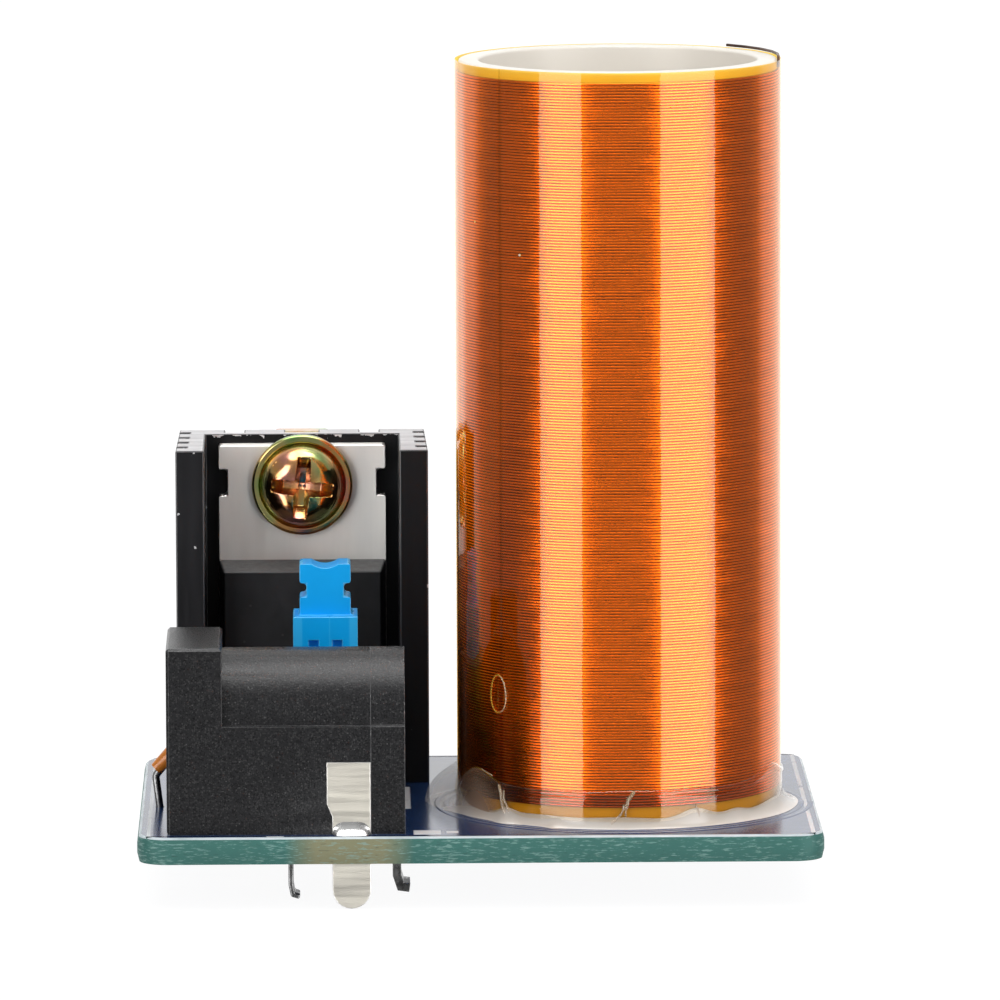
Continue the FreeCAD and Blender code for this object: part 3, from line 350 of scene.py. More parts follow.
def grain_of(tree, scale, smooth=0.3, rough=0.45, stretch=(1.0, 1.0, 1.0)):
    """Wandering roughness and its height."""
    return shared(tree, grain_group, {"Scale": scale, "Stretch": stretch, "Smooth": smooth, "Rough": rough})


def drift_of(tree, colour, other, scale, stretch=(1.0, 1.0, 1.0)):
    """Two colours that drift into each other."""
    return shared(tree, drift_group, {"Colour": rgba(colour), "Other colour": rgba(other), "Scale": scale,
                                      "Stretch": stretch})["Colour"]


def specks_of(tree, scale, size, share):
    """Scattered specks."""
    return shared(tree, speck_group, {"Scale": scale, "Size": size, "Share": share})["Mask"]


def grained(name, colour, other, smooth, rough, metallic=0.0, scale=400.0, stretch=(1, 1, 1), bump=0.0,
            depth=0.01, grit_and_glints=(), upward_grey=0.0, **sockets):
    """A plain material for a finish: two drifting colours, wandering roughness, a fine bump, scattered specks given
    as (scale, size, share, tone) that are partly painted glints on black moulding, and paler grey on what faces up."""
    material, tree = new_material(name)
    base = drift_of(tree, colour, other, scale * 0.3, stretch)
    grain = grain_of(tree, scale, smooth, rough, stretch)
    for fineness, size, share, tone in grit_and_glints:
        base = mixed(tree, specks_of(tree, fineness, size, share), base, rgba([tone] * 3))
    # Upward faces turn a paler grey, the more so the more they face up.
    if upward_grey:
        upward_share = mapped(tree, facing_up(tree), 0.05, 0.7, to_max=0.9)
        base = mixed(tree, upward_share, base, rgba([upward_grey, upward_grey, upward_grey * 1.02]))
    if bump:
        sockets["Normal"] = raised(tree, grain["Height"], bump, depth)
    return closed(material, principled(tree, base, grain["Roughness"], Metallic=metallic, **sockets))


# Meshes

def grid_quads(rows, columns, wrap_rows=False, wrap_columns=False):
    """Quads over a grid of points stored row by row; columns run counter-clockwise and rows upward, facing out."""
    r = np.arange(rows if wrap_rows else rows - 1)[:, None]
    c = np.arange(columns if wrap_columns else columns - 1)[None, :]
    up, side = (r + 1) % rows, (c + 1) % columns
    quads = np.stack([r * columns + c, r * columns + side, up * columns + side, up * columns + c], axis=-1)
    return quads.reshape(-1, 4)


def linked(name, data):
    """A new object around a mesh, a lamp or a camera, in the scene."""
    thing = bpy.data.objects.new(name, data)
    bpy.context.scene.collection.objects.link(thing)
    return thing


def new_mesh(name, points, faces):
    mesh = bpy.data.meshes.new(name)
    mesh.from_pydata(np.asarray(points, float).reshape(-1, 3).tolist(), [], [list(map(int, face)) for face in faces])
    mesh.update()
    return mesh


def weld(mesh, turn_out=False, join_flat=False):
    """Merges corners that lie on each other, and then turns the faces out or joins the flat ones."""
    work = bmesh.new()
    work.from_mesh(mesh)
    bmesh.ops.remove_doubles(work, verts=work.verts, dist=1e-7)
    if turn_out:
        bmesh.ops.recalc_face_normals(work, faces=work.faces)
    if join_flat:
        bmesh.ops.dissolve_limit(work, angle_limit=radians(1), verts=work.verts, edges=work.edges)
    work.to_mesh(mesh)
    work.free()


def finish_piece(piece, body, materials, replaces, sharp):
    """Gives a piece its materials and its sharp edges, sets what it rides on and hides the CAD nodes it replaces."""
    mesh = piece.data
    for material in materials:
        mesh.materials.append(material)
    mesh.shade_smooth()
    mesh.set_sharp_from_angle(angle=radians(sharp))
    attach(piece, body)
    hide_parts(*replaces)
    return piece


def new_piece(name, points, faces, body, materials, replaces, sharp):
    """Makes a finished piece at the origin from points in metres."""
    return finish_piece(linked(name, new_mesh(name, points, faces)), body, materials, replaces, sharp)


def merged(name, points, faces):
    """A piece from a grid whose poles and seams lie on each other: its doubles are merged and it faces out."""
    mesh = new_mesh(name, points, faces)
    weld(mesh, turn_out=True)
    return linked(name, mesh)


def circle(sides):
    """Angles in equal steps round a full turn, from nought."""
    return np.linspace(0, 2 * pi, sides, endpoint=False)


def round_z(radius, turn, height):
    """Points at a radius, an angle and a height on the z axis, whose arrays are broadcast against each other."""
    return np.stack(np.broadcast_arrays(radius * np.cos(turn), radius * np.sin(turn), height), axis=-1)


def unit(vectors):
    return vectors / np.linalg.norm(vectors, axis=1, keepdims=True)


def hoops(first, second, sides):
    """A unit circle for each point of a path, in the plane of two directions given for each point."""
    turn = circle(sides)[None, :, None]
    return np.cos(turn) * first[:, None, :] + np.sin(turn) * second[:, None, :]


def turned_surface(stations, center, axis, sides, closed=False):
    """Points of a turned shape: station (distance out, distance along) carried round the axis in equal steps."""
    out, along = np.array(stations, float).T
    local = round_z(out[:, None], circle(sides), along[:, None])
    spin = np.array(Vector((0, 0, 1)).rotation_difference(Vector(axis)).to_matrix())
    return local @ spin.T + np.array(center), grid_quads(len(out), sides, wrap_rows=closed, wrap_columns=True)


def swept_surface(path, radius, sides, aside):
    """Points of a wire: a circle carried along the path, its first axis kept square to a fixed direction."""
    path = np.asarray(path, float)
    along = unit(np.gradient(path, axis=0))
    first = unit(np.cross(along, np.asarray(aside, float)))
    reach = np.broadcast_to(np.asarray(radius, float), (len(path),))[:, None, None]
    points = path[:, None, :] + reach * hoops(first, np.cross(along, first), sides)
    faces = grid_quads(len(path), sides, wrap_columns=True).tolist()
    last = (len(path) - 1) * sides
    faces.append(list(range(sides))[::-1])
    faces.append(list(range(last, last + sides)))
    return points, faces


def turned_ring(path, radius, sides):
    """Points of a closed loop of wire on the coil: a circle carried along it, one of its axes pointing outward."""
    along = unit(np.roll(path, -1, axis=0) - np.roll(path, 1, axis=0))
    outward = unit(path * np.array([1.0, 1.0, 0.0]))
    points = path[:, None, :] + radius * hoops(outward, np.cross(along, outward), sides)
    return points, grid_quads(len(path), sides, wrap_rows=True, wrap_columns=True)


def edge_facts(mesh):
    """Each edge's middle in millimetres, its direction, and one where its faces meet at more than 34 degrees: the
    sum of their unit normals is then shorter than twice the cosine of 17 degrees."""
    ends, places = np.empty(2 * len(mesh.edges), int), np.empty(3 * len(mesh.vertices))
    mesh.edges.foreach_get("vertices", ends)
    mesh.vertices.foreach_get("co", places)
    first, second = places.reshape(-1, 3)[ends.reshape(-1, 2)].transpose(1, 0, 2) / MM
    run = second - first
    run /= np.maximum(np.linalg.norm(run, axis=1, keepdims=True), 1e-9)
    corners, sizes = np.empty(len(mesh.loops), int), np.empty(len(mesh.polygons), int)
    normals = np.empty(3 * len(mesh.polygons))
    mesh.loops.foreach_get("edge_index", corners)
    mesh.polygons.foreach_get("loop_total", sizes)
    mesh.polygons.foreach_get("normal", normals)
    total = np.zeros((len(mesh.edges), 3))
    np.add.at(total, corners, np.repeat(normals.reshape(-1, 3), sizes, axis=0))
    faces = np.bincount(corners, minlength=len(mesh.edges))
    folded = np.linalg.norm(total, axis=1) < faces * cos(radians(17))
    return (first + second) / 2, run, folded


def dressed_copy(node, name, materials, bevel=0.0, segments=2, sharp=30, weigh=None, clamp=True):
    """A clean copy of a CAD node: corners merged, flat faces joined, edges rounded and curved faces smooth.
    weigh gives each edge's share of the rounding from its middle and its direction."""
    source = nodes[node]
    mesh = source.data.copy()
    mesh.name = name
    weld(mesh, join_flat=True)
    mesh.materials.clear()
    piece = linked(name, mesh)
    if bevel:
        rounding = piece.modifiers.new("rounded edges", "BEVEL")
        rounding.width = bevel * MM
        rounding.segments = segments
        rounding.limit_method = "ANGLE"
        rounding.angle_limit = radians(35)
        if weigh:
            at, run, folded = edge_facts(mesh)
            weight = mesh.attributes.new("bevel_weight_edge", "FLOAT", "EDGE")
            weight.data.foreach_set("value", weigh(at, run) * folded)
            rounding.limit_method = "WEIGHT"
            rounding.use_clamp_overlap = clamp
        rounding.harden_normals = True
        if len(materials) > 1:
            rounding.material = 1
    return finish_piece(piece, source["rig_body"], materials, (node,), sharp=sharp)


def lumps(node):
    """The separate solids of a CAD node, each as the array of its corners, in metres."""
    mesh = nodes[node].data.copy()
    weld(mesh)
    at = np.empty(len(mesh.vertices) * 3)
    mesh.vertices.foreach_get("co", at)
    ends = np.empty(len(mesh.edges) * 2, int)
    mesh.edges.foreach_get("vertices", ends)
    bpy.data.meshes.remove(mesh)
    at, ends = at.reshape(-1, 3), ends.reshape(-1, 2)
    label, last = np.arange(len(at)), None
    while last is None or (label != last).any():
        last = label.copy()
        least = label[ends].min(axis=1)
        np.minimum.at(label, ends[:, 0], least)
        np.minimum.at(label, ends[:, 1], least)
    return [at[label == value] for value in np.unique(label)]


def paint(node, material):
    """Gives a CAD node that stays as it is a better material."""
    mesh = nodes[node].data
    mesh.materials.clear()
    mesh.materials.append(material)


# Finishes

def by_height(tree, level, soft=0.02):
    """Nought below a level in millimetres and one above it, read from the object's own z."""
    return mapped(tree, axes_of(tree, own_place(tree))["Z"], (level - soft) * MM, level * MM)


def wire_finish(coil):
    """Enamelled copper: a clear tinted metal, streaked along the turns, with painted shade in the valleys."""
    material, tree = new_material("enamelled copper")
    streaks = drift_of(tree, coil.wire_colour, tinted(coil.wire_colour, 0.86), 2600.0, (0.12, 0.12, 1.0))
    # Painted shade: the groove attribute darkens the colour toward the valley between turns.
    groove = add_node(tree, "ShaderNodeAttribute", attribute_name="groove")
    shade = mixed(tree, groove.outputs["Fac"], streaks, (0.30, 0.07, 0.02, 1.0))
    grain = grain_of(tree, 1500.0, 0.16, 0.26, (0.3, 0.3, 1.0))
    return closed(material, principled(tree, shade, grain["Roughness"], Metallic=1.0))


def skinned(tree, body, gloss, fresnel):
    """A see-through body that reflects on its outer face alone, by the share that the Fresnel node gives."""
    inside = add_node(tree, "ShaderNodeNewGeometry").outputs["Backfacing"]
    share = maths(tree, "MULTIPLY", fresnel.outputs[0], maths(tree, "SUBTRACT", 1.0, inside))
    return add_node(tree, "ShaderNodeMixShader", {0: share, 1: body.outputs[0], 2: gloss.outputs[0]}).outputs[0]


def film_finish(coil):
    """Clear amber film: light goes straight through and is tinted at each face, and the outer face reflects."""
    material, tree = new_material("amber film")
    waves = noise_at(tree, own_place(tree, (0.35, 0.35, 1.0)), 900.0, 2.0)
    gloss = add_node(tree, "ShaderNodeBsdfGlossy", {"Color": (1, 1, 1, 1), "Roughness": 0.04,
                                                    "Normal": raised(tree, waves, 0.25, 0.02)})
    x, y, _ = axes_of(tree, own_place(tree))
    off = maths(tree, "SUBTRACT", maths(tree, "ARCTAN2", y, x), radians(FILM_SEAM))
    seam = mapped(tree, maths(tree, "ABSOLUTE", off), 0.002, 0.006, 1.0, 0.0)
    tint = mixed(tree, seam, rgba(coil.film_tint), tinted(coil.film_tint, 0.86))
    through = add_node(tree, "ShaderNodeBsdfTransparent", {"Color": tint})
    fluff = specks_of(tree, 330.0, 0.024, 0.6)
    white = add_node(tree, "ShaderNodeBsdfPrincipled", {"Base Color": (0.85, 0.80, 0.72, 1.0), "Roughness": 0.5})
    clear = add_node(tree, "ShaderNodeMixShader", {0: fluff, 1: through.outputs[0], 2: white.outputs[0]})
    fresnel = add_node(tree, "ShaderNodeFresnel", {"IOR": 1.37})
    return closed(material, skinned(tree, clear, gloss, fresnel))


def glue_finish(coil):
    """Milky hot glue: the haze attribute says how much of it hides what lies under it."""
    material, tree = new_material("hot glue")
    grain = grain_of(tree, 600.0, 0.12, 0.26)
    bump = raised(tree, grain["Height"], 0.35, 0.08)
    drift = drift_of(tree, coil.glue_colour, (0.86, 0.76, 0.66), 240.0)
    haze = add_node(tree, "ShaderNodeAttribute", attribute_name="haze")
    return closed(material, principled(tree, drift, grain["Roughness"], Alpha=haze.outputs["Fac"], Normal=bump,
                                       Coat_Weight=0.6, Coat_Roughness=0.06))


def glaze_finish():
    """Clear hot glue thin enough to see the wire: light goes through, the skin reflects, and the haze attribute
    says how milky it is."""
    material, tree = new_material("clear glue")
    grain = grain_of(tree, 230.0, 0.04, 0.08)
    bump = raised(tree, grain["Height"], 0.25, 0.10)
    milk = add_node(tree, "ShaderNodeBsdfPrincipled", {"Base Color": (0.62, 0.42, 0.30, 1.0), "Roughness": 0.3})
    clear = add_node(tree, "ShaderNodeBsdfTransparent", {"Color": (0.985, 0.94, 0.87, 1.0)})
    haze = add_node(tree, "ShaderNodeAttribute", attribute_name="haze")
    body = add_node(tree, "ShaderNodeMixShader", {0: haze.outputs["Fac"], 1: clear.outputs[0], 2: milk.outputs[0]})
    gloss = add_node(tree, "ShaderNodeBsdfGlossy", {"Color": (1, 1, 1, 1), "Roughness": grain["Roughness"],
                                                    "Normal": bump})
    fresnel = add_node(tree, "ShaderNodeFresnel", {"IOR": 1.34, "Normal": bump})
    return closed(material, skinned(tree, body, gloss, fresnel))


def between(tree, value, low_end, high_end, soft=0.04):
    """One where a value, given in metres, lies between two places in millimetres, with soft ends."""
    rise = mapped(tree, value, (low_end - soft) * MM, (low_end + soft) * MM)
    fall = mapped(tree, value, (high_end - soft) * MM, (high_end + soft) * MM, 1.0, 0.0)
    return maths(tree, "MULTIPLY", rise, fall)


def board_finish(board):
    """Navy lacquer with white print on the top face, bare laminate with woven pale fibres on the cut edges."""
    material, tree = new_material("printed board")
    place = own_place(tree)
    x, y, _ = axes_of(tree, place)
    # Cut edge: long pale dashes in the weave's rows, over a body that turns olive along one stretch
    threads = noise_at(tree, own_place(tree, (0.17, 0.17, 1.0)), 9500.0, 3.0, Roughness=0.65)
    clouds = noise_at(tree, place, 260.0, 3.0)
    patches = mapped(tree, clouds, 0.40, 0.62, 0.58, 0.51)
    pale = mapped(tree, threads, patches, maths(tree, "ADD", patches, 0.09), to_max=0.62)
    deep = mapped(tree, threads, 0.38, 0.30, to_max=0.5)
    lighter = [min(1.0, c * 1.5 + 0.16) for c in board.laminate_colour]
    darker = tinted(board.laminate_colour, 0.74)
    body = mixed(tree, clouds, darker, tinted(board.laminate_colour, 1.12))
    olive = between(tree, x, -18.9, -13.2, 0.9)
    stained = mixed(tree, olive, body, (0.185, 0.185, 0.105, 1.0))
    seams = mixed(tree, deep, stained, (0.012, 0.030, 0.030, 1.0))
    laminate = mixed(tree, pale, seams, rgba(lighter))
    # Faces: lacquer, a printed line inside the edge, a ring round the coil, and short strokes
    mask = drift_of(tree, board.mask_colour, tinted(board.mask_colour, 1.6), 180.0)
    square = maths(tree, "MULTIPLY_ADD", y, y, maths(tree, "MULTIPLY", x, x))
    radius = maths(tree, "POWER", square, 0.5)
    left, right, back = low("circuit_board").x / MM, high("circuit_board").x / MM, high("circuit_board").y / MM
    margin, line = 0.55, 0.25
    prints = [between(tree, radius, 10.78, 10.90, 0.03)]
    for value, start in ((x, left + margin), (x, right - margin - line), (y, back - margin - line)):
        prints.append(between(tree, value, start, start + line, 0.03))
    strokes = ((-12.9, -12.4, -1.8, 6.2), (-12.3, -10.7, -11.1, -9.6), (-10.4, -9.7, -10.6, -9.9),
               (-20.9, -19.9, -11.75, -11.4))
    for x0, x1, y0, y1 in strokes:
        across = between(tree, x, x0, x1, 0.05)
        prints.append(maths(tree, "MULTIPLY", across, between(tree, y, y0, y1, 0.05)))
    printed = prints[0]
    for mark in prints[1:]:
        printed = maths(tree, "MAXIMUM", printed, mark)
    worn = mapped(tree, clouds, 0.34, 0.42, to_max=0.92)
    rise = facing_up(tree)
    upper = maths(tree, "GREATER_THAN", rise, 0.0)
    printed = maths(tree, "MULTIPLY", maths(tree, "MULTIPLY", printed, worn), upper)
    lacquer = mixed(tree, printed, mask, rgba(board.print_colour))
    face = maths(tree, "GREATER_THAN", maths(tree, "ABSOLUTE", rise), 0.95)
    base = mixed(tree, face, laminate, lacquer)
    rough = blended(tree, printed, blended(tree, face, 0.62, 0.17), 0.45)
    waves = grain_of(tree, 700.0)
    return closed(material, principled(tree, base, rough, Normal=raised(tree, waves["Height"], 0.30, 0.03)))


def anodised_finish(parts, top):
    """Black anodised extrusion, drawn along its length, with the raw metal of the saw cut on its top ends."""
    material, tree = new_material("black anodised")
    black = drift_of(tree, parts.anodised_colour, tinted(parts.anodised_colour, 1.7), 500.0, (1.0, 1.0, 0.05))
    raw = drift_of(tree, (0.52, 0.52, 0.53), (0.66, 0.66, 0.67), 900.0, (0.2, 1.0, 1.0))
    bare = by_height(tree, top - 0.03)
    flakes = grain_of(tree, 1500.0)["Height"]
    near_top = by_height(tree, top, 0.32)
    chipped = maths(tree, "GREATER_THAN", flakes, mapped(tree, near_top, to_min=0.74, to_max=0.50))
    nicks = specks_of(tree, 620.0, 0.06, 0.12)
    cut = maths(tree, "MAXIMUM", bare, maths(tree, "MAXIMUM", chipped, nicks))
    base = mixed(tree, cut, black, raw)
    grain = grain_of(tree, 2600.0, 0.34, 0.5, (1.0, 1.0, 0.06))
    return closed(material, principled(tree, base, grain["Roughness"], Metallic=maths(tree, "MULTIPLY", cut, 0.25),
                                       Normal=raised(tree, grain["Height"], 0.2, 0.01), Specular_IOR_Level=0.18))


def button_finish(parts):
    """Blue plastic with painted highlights, paler on the two walls of its wide foot and on two thin upright lines."""
    material, tree = new_material("blue button")
    x, _, z = axes_of(tree, own_place(tree))
    centre = middle("switch_button").x / MM
    drift = drift_of(tree, parts.button_colour, tinted(parts.button_colour, 0.90), 260.0)
    # Painted highlights: the foot's two walls and two thin upright lines, mixed 0.6 of the way to a pale blue.
    pale = 0.0
    for start, end, soft in ((-2.0, -1.42, 0.04), (1.42, 2.0, 0.04), (0.22, 0.28, 0.03), (-1.46, -1.38, 0.03)):
        pale = maths(tree, "MAXIMUM", between(tree, x, centre + start, centre + end, soft), pale)
    pale = maths(tree, "MULTIPLY", maths(tree, "MULTIPLY", pale, between(tree, z, 3.0, 11.05)), 0.6)
    base = mixed(tree, pale, drift, rgba(srgb(60, 190, 252)))
    grain = grain_of(tree, 900.0, 0.32, 0.42)
    return closed(material, principled(tree, base, grain["Roughness"], Specular_IOR_Level=0.25,
                                       Normal=raised(tree, grain["Height"], 0.15, 0.02)))


def zinc_finish(parts):
    """Yellow passivated zinc, with the green and pink bloom that such a coating shows."""
    material, tree = new_material("yellow zinc")
    bloom = add_node(tree, "ShaderNodeValToRGB", {0: noise_at(tree, own_place(tree), 330.0, 2.5)})
    stops = bloom.color_ramp.elements
    stops[0].position, stops[0].color = 0.36, (0.25, 0.37, 0.13, 1.0)
    stops[1].position, stops[1].color = 0.66, (0.50, 0.21, 0.19, 1.0)
    for position, colour in ((0.46, rgba(parts.zinc_colour)), (0.54, (0.57, 0.30, 0.10, 1.0))):
        stops.new(position).color = colour
    grain = grain_of(tree, 1500.0, 0.12, 0.26)
    return closed(material, principled(tree, bloom.outputs[0], grain["Roughness"], Metallic=1.0))


def banded_finish(name, base, bands, smooth, transmission=0.0):
    """A coated body with painted rings: each band is (place along x, half width, colour), in millimetres."""
    material, tree = new_material(name)
    along = axes_of(tree, own_place(tree))["X"]
    colour = drift_of(tree, base, tinted(base, 0.85), 500.0)
    for centre, half, tone in bands:
        off = maths(tree, "ABSOLUTE", maths(tree, "SUBTRACT", along, centre * MM))
        colour = mixed(tree, maths(tree, "LESS_THAN", off, half * MM), colour, rgba(tone))
    grain = grain_of(tree, 900.0, smooth, smooth + 0.12)
    return closed(material, principled(tree, colour, grain["Roughness"], Transmission_Weight=transmission))


def settings():
    scene = bpy.context.scene
    return scene.studio_settings, scene.coil_settings, scene.board_settings, scene.part_settings


FINISHES = {}


def finish(name):
    """The finished material of that name, made the first time it is asked for."""
    _, coil, board, parts = settings()
    makers = {
        "wire": lambda: wire_finish(coil),
        "film": lambda: film_finish(coil),
        "glue": lambda: glue_finish(coil),
        "glaze": glaze_finish,
        "glue thread": lambda: grained("glue thread", (0.90, 0.74, 0.55), (0.80, 0.50, 0.28), 0.05, 0.12, scale=500.0,
                                       bump=0.2, depth=0.05, Alpha=0.30, Coat_Weight=1.0),
        "tube": lambda: grained("tube plastic", coil.tube_colour, tinted(coil.tube_colour, 0.93), 0.3, 0.42,
                                scale=300.0, bump=0.1),
        "board": lambda: board_finish(board),
        # A pale grey-blue on the rounded edges round the board's top face.
        "board edge": lambda: grained("pale board edge", (0.42, 0.50, 0.53), (0.66, 0.72, 0.75), 0.3, 0.5,
                                      scale=1200.0, bump=0.4, depth=0.04),
        "track": lambda: grained("covered track", tinted(board.mask_colour, 1.2),
                                 tinted(board.mask_colour, 1.6), 0.16, 0.24, scale=300.0),
        "tail": lambda: grained("bare wire end", (0.11, 0.055, 0.035), (0.05, 0.03, 0.025), 0.3, 0.42, metallic=0.7,
                                scale=900.0),
        "anodised": lambda: anodised_finish(parts, high("heatsink").z / MM),
        "tab": lambda: grained("tab metal", (0.85, 0.83, 0.79), (0.74, 0.72, 0.69), 0.58, 0.68, metallic=1.0,
                               scale=900.0, stretch=(1.0, 1.0, 0.15), bump=0.12),
        "tab edge": lambda: grained("tab edge", (0.86, 0.84, 0.80), (0.74, 0.72, 0.70), 0.35, 0.5, metallic=1.0,
                                    scale=900.0),
        # Partly painted glints: the lighter specks, most of all the rare bright ones, stand in for the sparkle of the
        # textured surface.
        "moulding": lambda: grained("black moulding", parts.moulding_colour, tinted(parts.moulding_colour, 1.5),
                                    0.24, 0.36, scale=9000.0, bump=0.9, depth=0.022, Specular_IOR_Level=0.27,
                                    grit_and_glints=((9000.0, 0.45, 0.45, 0.040), (5200.0, 0.24, 0.22, 0.085),
                                          (1100.0, 0.05, 0.07, 0.50))),
        # Wear, and a painted highlight: the socket's rounded edges in a lighter grey.
        "moulding edge wear and painted highlight": lambda: grained("worn moulding edge wear and painted highlight", (0.045, 0.045, 0.047), (0.10, 0.10, 0.102), 0.4, 0.55,
                                         scale=3000.0, bump=0.5, depth=0.03, grit_and_glints=((4200.0, 0.36, 0.5, 0.26),)),
        # Its upward faces turn a paler grey.
        "case": lambda: grained("transistor case", parts.moulding_colour, tinted(parts.moulding_colour, 1.6),
                                0.42, 0.55, scale=2200.0, bump=0.3, depth=0.02, upward_grey=0.075, Specular_IOR_Level=0.3,
                                grit_and_glints=((2600.0, 0.2, 0.05, 0.06),)),
        "button": lambda: button_finish(parts),
        # Painted highlight: a paler blue on the button's rounded edges.
        "button edge with painted highlight": lambda: grained("blue button edge with painted highlight", srgb(86, 196, 252), srgb(48, 178, 248), 0.25, 0.35,
                                       scale=900.0),
        # Wear, and a painted highlight: the heatsink's rounded edges in a lighter grey, with bright chips.
        "heatsink edge wear and painted highlight": lambda: grained("worn anodised edge with painted highlight", (0.030, 0.030, 0.032), (0.085, 0.085, 0.088), 0.3, 0.45,
                                     scale=1600.0, stretch=(1.0, 1.0, 0.12), grit_and_glints=((1500.0, 0.2, 0.16, 0.8),)),
        # Painted dark reflection: tinned legs given a dark grey colour for the dark surroundings that they mirror.
        "leg with painted dark reflection": lambda: grained("clipped legs with painted dark reflection", (0.20, 0.20, 0.20), (0.05, 0.05, 0.05), 0.22, 0.42, metallic=1.0,
                                    scale=2400.0, bump=0.6, depth=0.05),
        "terminal": lambda: grained("pressed tin", (0.57, 0.545, 0.48), (0.43, 0.41, 0.365), 0.42, 0.58, metallic=1.0,
                                    scale=3400.0, stretch=(0.06, 0.06, 1.0), bump=0.5, depth=0.03),
        # Painted highlight: the side tag's rounded edges in a paler, smoother tin.
        "terminal edge with painted highlight": lambda: grained("pressed tin edge with painted highlight", (0.80, 0.78, 0.74), (0.50, 0.48, 0.45), 0.3, 0.4,
                                         metallic=0.6, scale=1500.0),
        "tin": lambda: grained("tinned metal", parts.tin_colour, tinted(parts.tin_colour, 0.8), 0.22, 0.38,
                               metallic=1.0, scale=900.0, bump=0.25, depth=0.02),
        "solder": lambda: grained("solder", (0.80, 0.80, 0.79), (0.26, 0.25, 0.25), 0.10, 0.28, metallic=1.0,
                                  scale=1500.0, bump=0.35, depth=0.06),
        "spring": lambda: grained("spring steel", (0.56, 0.56, 0.57), (0.47, 0.47, 0.49), 0.2, 0.32, metallic=1.0,
                                  scale=1600.0),
        "zinc": lambda: zinc_finish(parts),
        "disc": lambda: grained("ceramic disc", srgb(206, 128, 44), srgb(184, 100, 30), 0.18, 0.30, scale=500.0,
                                bump=0.25, depth=0.05),
    }
    if name not in FINISHES:
        FINISHES[name] = makers[name]()
    return FINISHES[name]


# Operators

